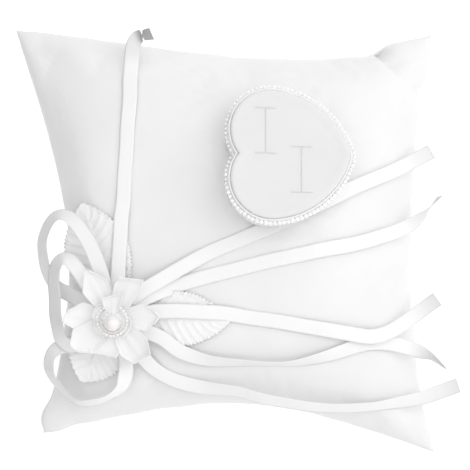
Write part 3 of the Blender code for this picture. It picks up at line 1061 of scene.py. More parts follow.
    def seam_push(self, x: np.ndarray, y: np.ndarray, reach: np.ndarray) -> np.ndarray:
        """Sideways movement near the seams: a narrow lip, a slight wave and the nips.

        Args:
            x: Positions to the right.
            y: Positions upwards.
            reach: Distances from the nearest seam.

        Returns:
            Movement in the plan.
        """
        away = np.stack([x, y], axis=-1)
        away = away / np.maximum(np.linalg.norm(away, axis=-1, keepdims=True), 1e-6)
        wave = np.vectorize(ripple)(x, y, 15 * MM, 1.0)
        push = np.exp(-reach / (5 * MM)) * self.seam_wave * wave
        push = push + self.seam_lip * np.exp(-reach / (0.8 * MM))
        shift = away * push[..., None]
        for nip in self.nips:
            far = np.hypot(x - nip.at[0] * MM, y - nip.at[1] * MM) / (nip.reach * MM)
            shift = shift + np.exp(-(far**2))[..., None] * np.array(nip.push) * MM
        return shift

    def cover(self, points: np.ndarray) -> None:
        """Record how far the settled front stands above its plain form.

        Args:
            points: The finished front panel.
        """
        steps = points.shape[0] - 1
        plain = self.blank(steps, 1)[..., 2]
        above = points[..., 2] - plain
        even = np.linspace(0, 1, self.relief_steps + 1)
        spaced = self.spaced(steps)
        rows = np.array([np.interp(even, spaced, row) for row in above])
        grid = np.array([np.interp(even, spaced, column) for column in rows.T]).T
        for _ in range(2):
            grid = stretch(grid, np.maximum.reduce)
        for _ in range(4):
            grid = stretch(grid, lambda parts: sum(parts) / len(parts))
        self.shape.relief = np.maximum(grid, self.least_relief)

    def build(self, finishes: Wardrobe) -> list[Piece]:
        """Make both panels.

        Args:
            finishes: The finishes.

        Returns:
            The pieces.
        """
        front, back = self.settle()
        pieces = []
        for name, node, side, steps, moved in (
            ("front_panel_cloth", "pillow_front_panel", 1, self.front_steps, front),
            ("back_panel_cloth", "pillow_back_panel", -1, self.back_steps, back),
        ):
            points = self.panel(steps, side, moved)
            if side > 0:
                self.cover(points)
            flat = points[..., :2].reshape(-1, 2)
            faces = grid_faces(steps + 1, steps + 1)
            panel = add_piece(name, points.reshape(-1, 3), faces, finishes.panel, flat)
            if panel.data.polygons[len(panel.data.polygons) // 2].normal.z * side < 0:
                panel.data.flip_normals()
            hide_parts(node)
            pieces.append(panel)
        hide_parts("pillow_filling")
        return pieces


def stretch(grid: np.ndarray, merge: Callable) -> np.ndarray:
    """Merge each value of a grid with its eight neighbours.

    Args:
        grid: Values by row and column.
        merge: Function of the list of shifted grids.

    Returns:
        The merged grid.
    """
    wide = np.pad(grid, 1, mode="edge")
    rows, columns = grid.shape
    parts = [wide[j : j + rows, i : i + columns] for j in range(3) for i in range(3)]
    return merge(parts)


# ---------------------------------------------------------------- heart


@dataclass
class RingHeart:
    """Heart-shaped ring holder: tray, slit flocked foam and a chain of stones."""

    shape: CushionShape
    lobe_radius: float = 18 * MM
    lobe: tuple[float, float] = (-8.5 * MM, 11.3 * MM)
    side_radius: float = 39 * MM
    point_radius: float = 6 * MM
    point_x: float = 21 * MM
    foot: float = 1.4 * MM
    height: float = 15 * MM
    wall: float = 1.2 * MM
    insert_rise: float = 2 * MM
    insert_dip: float = 0.38 * MM
    gap: float = 0.3 * MM
    slit_length: float = 21.3 * MM
    slit_serif: float = 10 * MM
    slit_width: float = 0.05 * MM
    slit_lip: float = 1.2 * MM
    slit_fall: float = 0.16 * MM
    slit_depth: float = 9 * MM
    lip: float = 1.1 * MM
    lip_rise: float = 0.9 * MM
    lip_steps: int = 12
    cross_lip: float = 0.3 * MM
    cross_fall: float = 0.1 * MM
    sharp_turn: float = 18
    trim_z: float = 14 * MM
    stone_pitch: float = 2.1 * MM
    stone_radius: float = 1.1 * MM
    half_length: float = 26 * MM
    half_width: float = 29 * MM
    braid_out: float = 1.5 * MM
    braid_rise: float = 0.3 * MM
    braid_steps: int = 12
    slits: Pairs = ((-11.5 * MM, 10.8 * MM), (5.0 * MM, -7.1 * MM))

    def outline(self, out: float = 0.0, fine: int = 3) -> list[Vector]:
        """Plan of the heart moved outwards.

        Args:
            out: Distance outwards.
            fine: Multiplier of the point count.

        Returns:
            Points round the heart from its notch.
        """
        lobe, tip = Vector(self.lobe), Vector((self.point_x, 0))
        span = tip - lobe
        near, far = self.side_radius - self.lobe_radius, self.side_radius - self.point_radius
        along = (near**2 - far**2 + span.length**2) / (2 * span.length)
        across = math.sqrt(near**2 - along**2)
        ahead = span.normalized()
        side = lobe + ahead * along - Vector((-ahead.y, ahead.x)) * across
        lobe_end = math.atan2((lobe - side).y, (lobe - side).x)
        side_end = math.atan2((tip - side).y, (tip - side).x)
        radius = self.lobe_radius + out
        notch = math.pi + math.asin(self.lobe[1] / radius)
        upper = self.arc(lobe, radius, notch, lobe_end, 12 * fine)
        upper += self.arc(side, self.side_radius + out, lobe_end, side_end, 5 * fine)
        upper += self.arc(tip, self.point_radius + out, side_end, 0, 3 * fine)
        first = Vector((self.lobe[0] - math.sqrt(radius**2 - self.lobe[1] ** 2), 0))
        lower = [Vector((p.x, -p.y)) for p in reversed(upper[:-1])]
        return [first] + upper + lower

    @staticmethod
    def arc(centre: Vector, radius: float, start: float, end: float, count: int) -> list[Vector]:
        """Points on an arc, its first one left out."""
        turns = [start + (end - start) * k / count for k in range(1, count + 1)]
        return [centre + radius * Vector((math.cos(a), math.sin(a))) for a in turns]

    def ring(self, out: float, z: float) -> list[Vector]:
        """The outline at one level, in the row frame."""
        return [self.shape.heart_seat @ Vector((p.x, p.y, z)) for p in self.outline(out)]

    def lofted(self, name: str, levels: Pairs, finish: Finish, closed: bool = False) -> Piece:
        """Loft the heart's outline through offsets and levels.

        Args:
            name: Name of the piece.
            levels: Pairs of distance outwards and height.
            finish: The material.
            closed: Whether the last level joins the first.

        Returns:
            The piece.
        """
        rings = [self.ring(out, z) for out, z in levels]
        count = len(rings[0])
        points = [p for ring in rings for p in ring]
        faces: Faces = []
        pairs = [(k, k + 1) for k in range(len(rings) - 1)]
        if closed:
            pairs.append((len(rings) - 1, 0))
        else:
            faces.append(tuple(range(count)))
        for low, high in pairs:
            for i in range(count):
                j = (i + 1) % count
                faces.append((low * count + i, low * count + j, high * count + j, high * count + i))
        if not closed:
            points, more = self.crown(points, (len(rings) - 1) * count, count)
            faces += more
        return add_piece(name, points, faces, finish)

    @staticmethod
    def crown(points: list[Vector], start: int, count: int) -> tuple[list[Vector], Faces]:
        """Close a ring with ever smaller rings towards its middle.

        Args:
            points: All points so far.
            start: Number of the ring's first point.
            count: Points in the ring.

        Returns:
            The points with the new ones added, and the new faces.
        """
        rim = points[start : start + count]
        middle = sum(rim, Vector()) / count
        faces: Faces = []
        low = start
        for share in (0.8, 0.6, 0.4, 0.2):
            high = len(points)
            points = points + [middle + (p - middle) * share for p in rim]
            for i in range(count):
                j = (i + 1) % count
                faces.append((low + i, low + j, high + j, high + i))
            low = high
        points = points + [middle]
        for i in range(count):
            faces.append((low + i, low + (i + 1) % count, len(points) - 1))
        return points, faces

    def build_insert(self, finish: Finish) -> Piece:
        """Make the crowned foam heart and cut its two ring slits.

        Args:
            finish: Flocked finish.

        Returns:
            The insert.
        """
        rim = self.foot + self.height
        top = rim + self.insert_rise
        levels = [(0, self.foot + self.wall + self.gap), (0, rim)]
        for k in range(self.lip_steps + 1):
            share = k / self.lip_steps
            turn = math.pi * (share - 0.5)
            out = self.lip * math.cos(turn) - 0.5 * MM * share**2
            levels.append((out, rim + self.lip + self.lip_rise * math.sin(turn)))
        levels += [(-1.2 * MM, top), (-2.2 * MM, top - 0.12 * MM), (-3.4 * MM, top - 0.3 * MM)]
        levels += [(-4.4 * MM, top - 0.36 * MM), (-5.4 * MM, top - self.insert_dip)]
        insert = self.lofted("slit_foam_heart", levels, finish)
        for number, (x, y) in enumerate(self.slits, 1):
            half = self.slit_length / 2
            self.slit(insert, self.slit_length, (x, y), top, f"slit_{number}")
            for end, away in (("upper", half), ("lower", -half)):
                self.slit(insert, self.slit_serif, (x, y + away), top, f"slit_{number}_{end}", across=True)
        insert.data.set_sharp_from_angle(angle=math.radians(self.sharp_turn))
        even = insert.modifiers.new("even", "WEIGHTED_NORMAL")
        even.keep_sharp = True
        apply_modifiers(insert)
        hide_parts("heart_insert")
        return insert

    def slit(
        self,
        insert: Piece,
        length: float,
        at: tuple[float, float],
        top: float,
        name: str,
        across: bool = False,
    ) -> None:
        """Cut one stroke of a ring slit: a hairline with softly parted lips.

        Args:
            insert: The foam heart.
            length: Length of the stroke.
            at: Middle of the stroke.
            top: Height of the foam's rim.
            name: Name of the cut.
            across: Whether the stroke runs along the heart's own X axis.
        """
        hair = self.slit_width / 2
        left, right, fall = self.slit_lip, 0.5 * MM, self.slit_fall
        if across:
            left, right, fall = self.cross_lip, self.cross_lip, self.cross_fall
        level = -self.insert_dip
        outline = ((-hair, -self.slit_depth), (hair, -self.slit_depth), (hair, level - fall))
        outline += ((right, level + 0.05 * MM), (right, 1 * MM), (-left, 1 * MM))
        outline += ((-left, level + 0.05 * MM), (-hair, level - fall))
        turn = Matrix.Rotation(math.pi / 2 if across else 0, 4, "Z")
        frame = self.shape.heart_seat @ Matrix.Translation((*at, top)) @ turn
        count = len(outline)
        points = [frame @ Vector((x, end * length / 2, z)) for end in (-1, 1) for x, z in outline]
        faces: Faces = [tuple(range(count)), tuple(reversed(range(count, 2 * count)))]
        for k in range(count):
            j = (k + 1) % count
            faces.append((k, k + count, j + count, j))
        cutter = stand(name, closed_mesh(name, points, faces))
        cut = insert.modifiers.new(name, "BOOLEAN")
        cut.operation = "DIFFERENCE"
        cut.solver = "EXACT"
        cut.object = cutter
        apply_modifiers(insert)
        bpy.data.objects.remove(cutter)

    def build_trim(self, finish: Finish) -> Piece:
        """Make the chain of small cut stones round the tray's wall.

        Args:
            finish: Finish of the stones.

        Returns:
            The chain as one piece.
        """
        reach = self.wall + 2 * self.gap + self.stone_radius
        path = self.outline(reach, 6)
        spots = evenly(path, self.stone_pitch)
        work = bmesh.new()
        for number, spot in enumerate(spots):
            wobble = noise.noise(Vector((number * 0.73, 4.2, 0)))
            below = -spot.y / self.half_width
            behind = max(0.0, -spot.x / self.half_length) * (1.0 if below < 0.5 else 0.3)
            size = self.stone_radius * (1.0 + 0.2 * wobble + 0.25 * max(0.0, below) - 0.2 * behind)
            z = self.foot + self.trim_z + 0.4 * MM * noise.noise(Vector((number * 1.31, 0.4, 2)))
            z = z + (0.5 * max(0.0, below) - 0.6 * behind) * MM
            place = Matrix.Translation((spot.x, spot.y, z)) @ Matrix.Rotation(number * 1.7, 4, "X")
            place = place @ Matrix.Rotation(number * 2.3, 4, "Z")
            frame = self.shape.heart_seat @ place @ Matrix.Diagonal((size, size, size, 1))
            bmesh.ops.create_icosphere(work, subdivisions=1, radius=1, matrix=frame)
        points, faces = mesh_lists(work)
        trim = add_piece("stone_chain", points, faces, finish, smooth=False)
        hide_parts("heart_trim")
        return trim

    def build_braid(self, finish: Finish) -> Piece:
        """Make the narrow braid that the stones are sewn to.

        Args:
            finish: Cloth of the braid.

        Returns:
            The braid.
        """
        middle = self.foot + self.height + self.braid_rise
        levels = []
        for k in range(self.braid_steps):
            turn = 2 * math.pi * k / self.braid_steps
            levels.append((self.braid_out + 0.55 * MM * math.cos(turn), middle + 0.45 * MM * math.sin(turn)))
        return self.lofted("stone_braid", levels, finish, closed=True)

    def build(self, finishes: Wardrobe) -> list[Piece]:
        """Make the whole ring holder.

        Args:
            finishes: The finishes.

        Returns:
            The pieces.
        """
        rim = self.foot + self.height
        outer, inner = self.wall + self.gap, self.gap
        levels = (
            (inner, self.foot + self.wall),
            (inner, rim - 0.2 * MM),
            (inner + 0.3 * MM, rim),
            (outer - 0.3 * MM, rim),
            (outer, rim - 0.3 * MM),
            (outer, self.foot + 0.3 * MM),
            (outer - 0.4 * MM, self.foot),
            (inner, self.foot),
        )
        tray = self.lofted("tray_wall", levels, finishes.plastic, closed=True)
        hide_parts("heart_tray")
        insert = self.build_insert(finishes.flock)
        trim = self.build_trim(finishes.stones)
        braid = self.build_braid(finishes.felt)
        return [tray, insert, trim, braid]


# ---------------------------------------------------------------- corsage


@dataclass(frozen=True)
class Petal:
    """One folded satin petal of the corsage, in the corsage's own frame."""

    heading: float
    length: float
    middle: float
    end: float
    point: float = 0.0
    skew: float = 0.0
    rise: float = 2.5 * MM
    start: float = 2.6 * MM
    root: float = 4.0 * MM
    level: float = 12.5 * MM
    cup: float = 0.75 * MM
    curl: float = 0.0
    shift: tuple[float, float] = (1.0 * MM, -0.6 * MM)
    waist: float = 0.7
    ridge: float = 0.28 * MM
    wrinkle: float = 0.16 * MM
    tip_lift: float = 0.6 * MM
    thin: float = 0.14 * MM
    folded: float = 0.26 * MM

    def points(self, rows: int = 30, columns: int = 23) -> np.ndarray:
        """Grid of points of the petal's middle surface.

        Args:
            rows: Rows from root to tip.
            columns: Points across.

        Returns:
            Points by row, column and axis.
        """
        s = np.linspace(0, 1, rows)[:, None]
        t = np.linspace(-1, 1, columns)[None, :]
        widths = (self.root, 0.78 * self.middle, self.middle, self.end)
        half = np.interp(s, (0, 0.3, self.waist, 1), widths) / 2
        full = self.length * (1 + self.skew * t - self.point * np.abs(t) ** 1.4)
        x = self.start + (full - self.start) * s
        y = half * t + 0 * x
        rim = np.abs(t) ** 3
        z = self.rise * s**1.4 + self.cup * rim * ease(s / 0.6)
        z = z + self.ridge * np.exp(-((t / 0.16) ** 2)) * (1 - 0.8 * s)
        z = z + self.wrinkle * np.cos(9 * t + self.heading) * (1 - s)
        z = z + self.tip_lift * ease((s - 0.86) / 0.14) + self.curl * s**2 * t
        return np.stack([x + 0 * t, y, z + 0 * t], axis=-1)

    def fold(self, rows: int = 30, columns: int = 23) -> np.ndarray:
        """Half thickness of the petal, fuller where the satin is folded at its rim.

        Args:
            rows: Rows from root to tip.
            columns: Points across.

        Returns:
            Half thickness by row and column.
        """
        s = np.linspace(0, 1, rows)[:, None]
        t = np.linspace(-1, 1, columns)[None, :]
        rim = np.exp(-(((1 - np.abs(t)) / 0.07) ** 2)) + np.exp(-(((1 - s) / 0.05) ** 2))
        return self.thin + self.folded * np.minimum(rim, 1) * ease(s / 0.3)


@dataclass(frozen=True)
class Leaf:
    """One embossed cloth leaf with a pinked edge, lying on the cushion."""

    name: str
    heading: float
    length: float
    width: float
    start: float = 9 * MM
    lift: float = 1.0 * MM
    teeth: int = 26
    veins: int = 11
    tip_lift: float = 1.0 * MM
    sway: float = 0.0
    tooth: float = 1.7 * MM

    def outline(self, s: np.ndarray) -> np.ndarray:
        """Half width along the leaf before the teeth are cut."""
        return self.width / 2 * np.sin(np.pi * (0.16 + 0.84 * s**1.15)) ** 0.8

    def points(
        self, shape: CushionShape, rows: int = 171, columns: int = 29
    ) -> tuple[np.ndarray, np.ndarray]:
        """Grid of points of the leaf and its flat layout.

        Args:
            shape: The cushion that it lies on.
            rows: Rows from root to tip.
            columns: Points across.

        Returns:
            Points by row, column and axis, and the flat layout of the same grid.
        """
        s = np.linspace(0, 1, rows)[:, None]
        t = np.linspace(-1, 1, columns)[None, :]
        tooth = (s * self.teeth) % 1.0
        cut = self.tooth * (tooth - 0.5) * ease(s / 0.08) * (1 - 0.4 * s)
        half = np.maximum(self.outline(s) + cut, 0.05 * MM)
        reach = self.start + self.length * s + 0 * t
        across = half * t
        turn = math.radians(self.heading)
        x = shape.corsage_at[0] + np.cos(turn) * reach - np.sin(turn) * across
        y = shape.corsage_at[1] + np.sin(turn) * reach + np.cos(turn) * across
        level = shape.lay_level(x, y) + self.lift + self.tip_lift * ease((s - 0.4) / 0.6)
        level = level + self.sway * np.sin(2.2 * np.pi * s + 0.6) * (0.4 + 0.6 * t * t)
        return np.stack([x, y, level + self.rib(s, t)], axis=-1), np.stack([reach, across], axis=-1)

    def rib(self, s: np.ndarray, t: np.ndarray) -> np.ndarray:
        """Embossed relief: a middle vein, side veins and a raised rim.

        Args:
            s: Share of the way to the tip.
            t: Place across, from -1 to 1.

        Returns:
            Height of the relief.
        """
        fade = ease(s / 0.1) * (1 - ease((s - 0.8) / 0.2))
        middle = np.exp(-((t / 0.06) ** 2))
        phase = (self.veins * s - 2.1 * np.abs(t)) % 1.0 - 0.5
        side = np.exp(-((phase / 0.17) ** 2)) * ease((np.abs(t) - 0.04) / 0.1)
        rim = np.exp(-(((np.abs(t) - 0.95) / 0.06) ** 2))
        hollow = 0.5 * np.cos(2 * np.pi * phase) * (1 - np.abs(t))
        return MM * fade * (0.6 * side * (1 - 0.3 * np.abs(t)) + 0.6 * middle + 0.4 * rim - 0.2 * hollow)


@dataclass
class Corsage:
    """Satin flower with a pearl, on three leaves."""

    shape: CushionShape
    petals: Sequence[Petal] = (
        Petal(4, 22.5 * MM, 12.8 * MM, 4 * MM, 0.08, 0.0, 2.6 * MM, level=12.6 * MM),
        Petal(64, 21.5 * MM, 12.5 * MM, 11 * MM, 0.0, -0.1, 3.2 * MM, level=13.3 * MM, waist=0.8),
        Petal(118, 26 * MM, 13.5 * MM, 3 * MM, 0.04, 0.0, 3.6 * MM, level=13.0 * MM, waist=0.66),
        Petal(177, 23 * MM, 14 * MM, 6 * MM, 0.04, 0.05, 2.6 * MM, level=12.4 * MM, waist=0.66),
        Petal(217, 23.5 * MM, 15 * MM, 5 * MM, 0.03, -0.02, 2.0 * MM, level=13.1 * MM, waist=0.74),
        Petal(255, 17.5 * MM, 14 * MM, 13 * MM, 0.0, -0.03, 1.8 * MM, level=12.3 * MM, waist=0.8),
        Petal(
            308, 23.5 * MM, 15.5 * MM, 9.5 * MM, 0.0, 0.03, 2.8 * MM,
            level=12.9 * MM, curl=1.4 * MM, waist=0.66,
        ),
    )
    inner: Sequence[Petal] = (
        Petal(84, 11.8 * MM, 9 * MM, 9.5 * MM, 0.05, -0.14, 2.6 * MM, 3.2 * MM, 5 * MM, 18.2 * MM, 1.0 * MM),
        Petal(150, 9.5 * MM, 9 * MM, 7 * MM, 0.1, 0.0, 2.0 * MM, 1.0 * MM, 5 * MM, 15.8 * MM, 0.8 * MM),
        Petal(222, 9.5 * MM, 9.5 * MM, 7 * MM, 0.1, 0.0, 1.6 * MM, 1.0 * MM, 5 * MM, 15.3 * MM, 0.8 * MM),
        Petal(330, 9.8 * MM, 10.5 * MM, 8 * MM, 0.1, 0.0, 1.8 * MM, 1.0 * MM, 5 * MM, 15.6 * MM, 0.8 * MM),
    )
    leaves: Sequence[Leaf] = (
        Leaf("upper", 107, 46 * MM, 31 * MM, teeth=27, veins=11, tip_lift=0.6 * MM, sway=0.3 * MM),
        Leaf("right", -3, 44.5 * MM, 26 * MM, teeth=26, veins=11, tip_lift=0.1 * MM, sway=0.15 * MM),
        Leaf("lower", -118, 27 * MM, 26 * MM, teeth=15, veins=8, tip_lift=1.0 * MM, sway=0.5 * MM),
    )
    smallest_cut: float = 10 * MM
    leaf_half: float = 0.14 * MM
    pearl_at: tuple[float, float, float] = (2.0 * MM, -1.9 * MM, 20.5 * MM)
    pearl_radius: float = 3.7 * MM
    halo_at: tuple[float, float, float] = (1.6 * MM, -0.9 * MM, 20.0 * MM)
    halo_radius: float = 7.1 * MM
    halo_count: int = 26
    halo_stone: float = 0.75 * MM
    puff_rings: int = 12
    puff_sides: int = 60
    puff_share: float = 0.93
    puff_fall: float = 2.4 * MM
    puff_fold: float = 0.22 * MM
    wire_gap: float = 1.7 * MM
    wire_low: float = 1.5 * MM
    wire_thin: float = 0.25 * MM
    stem_top: float = 17 * MM
    stem_foot: float = 1.8 * MM
    stem_radius: float = 2.35 * MM
    stem_turns: int = 24
    thread_thin: float = 0.18 * MM

    @staticmethod
    def sheet_piece(
        name: str, grid: np.ndarray, half: np.ndarray | float, finish: Finish, layout: np.ndarray
    ) -> Piece:
        """Make a thin piece of cloth from a grid of points.

        Args:
            name: Name of the piece.
            grid: Points by row, column and axis.
            half: Half of its thickness.
            finish: The material.
            layout: Flat layout of the same grid.

        Returns:
            The piece.
        """
        points, faces = thick(grid, grid_normals(grid), half)
        flat = layout.reshape(-1, 2)
        return add_piece(name, points, faces, finish, np.concatenate([flat, flat]))

    def build_petal(self, petal: Petal, name: str, node: str, finish: Finish) -> Piece:
        """Make one petal.

        Args:
            petal: Its sizes.
            name: Name of the piece.
            node: The node that it stands for.
            finish: Satin.

        Returns:
            The petal.
        """
        local = petal.points()
        turn = Matrix.Rotation(math.radians(petal.heading), 4, "Z")
        frame = self.shape.corsage_seat @ Matrix.Translation((*petal.shift, petal.level)) @ turn
        flat = local.reshape(-1, 3)
        matrix = np.array(frame)
        grid = (flat @ matrix[:3, :3].T + matrix[:3, 3]).reshape(local.shape)
        made = self.sheet_piece(name, grid, petal.fold(), finish, local[..., :2])
        soften(made, 1)
        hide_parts(node)
        return made

    def build_leaf(self, leaf: Leaf, finish: Finish) -> Piece:
        """Make one leaf.

        Args:
            leaf: Its sizes.
            finish: Embossed cloth.

        Returns:
            The leaf.
        """
        grid, layout = leaf.points(self.shape)
        made = self.sheet_piece(f"pinked_leaf_{leaf.name}", grid, self.leaf_half, finish, layout)
        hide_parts(f"leaf_{leaf.name}")
        return made

    def build_pearl(self, finish: Finish) -> Piece:
        """Make the round pearl bead.

        Args:
            finish: Pearl coat.

        Returns:
            The pearl.
        """
        profile = []
        for k in range(25):
            turn = math.pi * (k / 24)
            profile.append((self.pearl_radius * math.sin(turn), self.pearl_radius * math.cos(turn)))
        place = self.shape.corsage_seat @ Matrix.Translation(self.pearl_at)
        pearl = turned("pearl_bead", profile, 40, place, finish)
        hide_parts("pearl")
        return pearl

    def build_halo(self, finish: Finish) -> Piece:
        """Make the ring of small stones round the pearl.

        Args:
            finish: Finish of the stones.

        Returns:
            The ring as one piece.
        """
        work = bmesh.new()
        for number in range(self.halo_count):
            turn = 2 * math.pi * number / self.halo_count
            for ring, size in ((0.0, 1.0), (-1.8 * MM, 0.8)):
                radius = self.halo_radius + ring
                spin = turn + (0.13 if ring else 0)
                z = -1.2 * MM + 0.5 * ring + 0.3 * MM * math.sin(3 * turn)
                spot = Vector((radius * math.cos(spin), radius * math.sin(spin), z))
                place = Matrix.Translation(spot) @ Matrix.Rotation(number * 1.9 + ring, 4, "X")
                scale = self.halo_stone * size
                frame = self.shape.corsage_seat @ Matrix.Translation(self.halo_at) @ place
                frame = frame @ Matrix.Diagonal((scale, scale, scale, 1))
                bmesh.ops.create_icosphere(work, subdivisions=1, radius=1, matrix=frame)
        points, faces = mesh_lists(work)
        halo = add_piece("pearl_halo", points, faces, finish, smooth=False)
        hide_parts("rhinestone_ring")
        return halo

    def build_puff(self, finish: Finish) -> Piece:
        """Make the small gathered satin puff that the pearl is sewn to.

        Args:
            finish: Satin.

        Returns:
            The puff.
        """
        rings, sides = self.puff_rings, self.puff_sides
        points = []
        for k in range(rings + 1):
            share = k / rings
            radius = self.halo_radius * self.puff_share * math.sin(0.5 * math.pi * share)
            for i in range(sides):
                turn = 2 * math.pi * i / sides
                fold = self.puff_fold * math.sin(13 * turn + 2.0 * share) * math.sin(math.pi * share)
                z = -1.6 * MM - self.puff_fall * share**2 + fold
                spot = Vector((radius * math.cos(turn), radius * math.sin(turn), z))
                points.append(self.shape.corsage_seat @ (Vector(self.halo_at) + spot))
        faces = []
        for k in range(rings):
            for i in range(sides):
                j = (i + 1) % sides
                a, b = k * sides, (k + 1) * sides
                faces.append((a + i, b + i, b + j, a + j))
        puff = add_piece("satin_puff", points, faces, finish)
        work = bmesh.new()
        work.from_mesh(puff.data)
        bmesh.ops.remove_doubles(work, verts=work.verts, dist=1e-6)
        bmesh.ops.holes_fill(work, edges=work.edges)
        work.to_mesh(puff.data)
        work.free()
        return puff

    def build_wires(self, finish: Finish) -> Piece:
        """Make the two fine wire rings that carry the stones.

        Args:
            finish: Finish of the wire.

        Returns:
            The wires as one piece.
        """
        work = bmesh.new()
        low = Matrix.Translation((0, 0, -self.wire_low))
        base = self.shape.corsage_seat @ Matrix.Translation(self.halo_at) @ low
        for radius in (self.halo_radius, self.halo_radius - self.wire_gap):
            add_torus(work, base, radius, self.wire_thin)
        points, faces = mesh_lists(work)
        wires = add_piece("halo_wires", points, faces, finish)
        return wires

    def build_stem(self, finishes: Wardrobe) -> list[Piece]:
        """Make the bound stem and the felt backing below the flower.

        Args:
            finishes: The finishes.

        Returns:
            The two pieces.
        """
        profile = [(0.0, self.stem_top + 0.5 * MM)]
        steps = 4 * self.stem_turns
        for k in range(steps + 1):
            z = self.stem_top - k / steps * (self.stem_top - self.stem_foot)
            wound = math.cos(2 * math.pi * self.stem_turns * k / steps)
            profile.append((self.stem_radius + self.thread_thin * wound, z))
        profile.append((0.0, self.stem_foot))
        stem = turned("bound_stem", profile, 28, self.shape.corsage_seat, finishes.thread)
        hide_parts("corsage_stem")
        edge = [(0.0, 1.5 * MM), (7.2 * MM, 1.5 * MM), (7.9 * MM, 1.2 * MM), (8 * MM, 0.8 * MM)]
        edge += [(7.8 * MM, 0.4 * MM), (7.2 * MM, 0.3 * MM), (0.0, 0.3 * MM)]
        backing = turned("felt_backing", edge, 48, self.shape.corsage_seat, finishes.felt)
        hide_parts("corsage_backing")
        return [stem, backing]

    def build(self, finishes: Wardrobe) -> list[Piece]:
        """Make the whole corsage.

        Args:
            finishes: The finishes.

        Returns:
            The pieces.
        """
        pieces = [self.build_leaf(leaf, finishes.leaf) for leaf in self.leaves]
        for kind, whorl in (("petal", self.petals), ("inner_petal", self.inner)):
            for number, petal in enumerate(whorl, 1):
                name, node = f"satin_{kind}_{number}", f"{kind}_{number}"
                pieces.append(self.build_petal(petal, name, node, finishes.petal))
        pieces.append(self.build_pearl(finishes.pearl))
        pieces.append(self.build_halo(finishes.stones))
        pieces.append(self.build_puff(finishes.petal))
        pieces.append(self.build_wires(finishes.stones))
        return pieces + self.build_stem(finishes)


# ---------------------------------------------------------------- ribbons


class FarEnd(Enum):
    """Where a ribbon ends."""

    CUT = "bare"
    SEWN_IN = "object"


@dataclass
class Ribbon:
    """One length of 7 mm satin ribbon along its route, with a painted shade stored along its length."""

    name: str
    route: Route
    far_end: FarEnd
    width: float = 7 * MM
    half: float = 0.1 * MM
    selvedge: float = 0.05 * MM
    columns: int = 9
    per_span: int = 8
    # Painted shade along the ribbon as pairs of a share of its length and a tone, and the back face darkened
    # once more as further painted shade.
    painted_shades: Pairs = ((0.0, 1.0),)
    back_painted_shade: float = 0.86
    settle: float = 0.65 * MM
    fold: float = 0.0
    fold_roll: float = 90
    lean: float = 1.0
    low_lift: float = 2.2 * MM
    low_fade: float = 1.2 * MM
    clear_lift: float = 8 * MM
    bow: float = 0.1 * MM

    def smooth(self) -> np.ndarray:
        """Smooth curve through the route's points: x, y, lift and roll.

        Returns:
            Rows of four values.
        """
        points = np.array([self.route[0], *self.route, self.route[-1]], float)
        rows = []
        for a, b, c, d in zip(points, points[1:], points[2:], points[3:]):
            for t in np.arange(self.per_span) / self.per_span:
                bend = (2 * a - 5 * b + 4 * c - d) * t * t
                rows.append(0.5 * (2 * b + (c - a) * t + bend + (3 * b - a - 3 * c + d) * t**3))
        rows.append(points[-1])
        return np.array(rows)

    def build(self, shape: CushionShape, finish: Finish) -> Piece:
        """Args:
            shape: The cushion that it lies on.
            finish: Satin.

        Returns:
            The ribbon.
        """
        curve = self.smooth()
        x, y, lift, roll = curve.T
        low = np.clip((self.low_lift - lift) / self.low_fade, 0, 1)
        lift = lift - np.minimum(self.settle, 0.7 * np.maximum(lift, 0)) * low
        past = roll - self.fold_roll
        roll = roll + self.fold * np.tanh(past / 3) * np.exp(-((past / 45) ** 2))
        middle = np.stack([x, y, shape.lay_level(x, y) + lift], axis=-1)
        for _ in range(3):
            middle[1:-1] = 0.5 * middle[1:-1] + 0.25 * (middle[:-2] + middle[2:])
        ahead = np.gradient(middle, axis=0)
        steps = np.linalg.norm(np.diff(middle, axis=0), axis=1)
        run = np.concatenate([[0], np.cumsum(steps)])
        t = np.linspace(-1, 1, self.columns)
        grid = np.zeros((len(curve), self.columns, 3))
        normals = np.zeros_like(grid)
        clear = np.clip(lift / self.clear_lift, 0, 1)
        ups = np.array([shape.normal(shape.lay_level, *row) for row in zip(x, y, 1 - clear)])
        for _ in range(6):
            ups[1:-1] = 0.5 * ups[1:-1] + 0.25 * (ups[:-2] + ups[2:])
        for k, up in enumerate(map(Vector, ups)):
            forward = Vector(ahead[k]).normalized()
            side = up.cross(forward).normalized()
            side.rotate(Matrix.Rotation(math.radians(self.lean * roll[k]), 3, forward))
            face = forward.cross(side).normalized()
            bow = self.bow * (1 - t**2)
            grid[k] = middle[k] + np.outer(t * self.width / 2, side) + np.outer(bow, face)
            normals[k] = face
        half = self.half + self.selvedge * np.exp(-(((np.abs(t) - 0.95) / 0.06) ** 2))
        points, faces = thick(grid, normals, half[None, :])
        flat = np.stack(np.meshgrid(t * self.width / 2, run), axis=-1).reshape(-1, 2)
        made = add_piece(f"satin_{self.name}", points, faces, finish, np.concatenate([flat, flat]))
        # Store the painted shade on each point: the tone along the ribbon on the outer face, darkened once
        # more on the back face.
        places, painted_tones = zip(*self.painted_shades)
        outer = np.repeat(np.interp(run / run[-1], places, painted_tones), self.columns)
        shade = made.data.attributes.new("shade", "FLOAT", "POINT")
        shade.data.foreach_set("value", np.concatenate([outer, outer * self.back_painted_shade]))
        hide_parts(self.name)
        return made


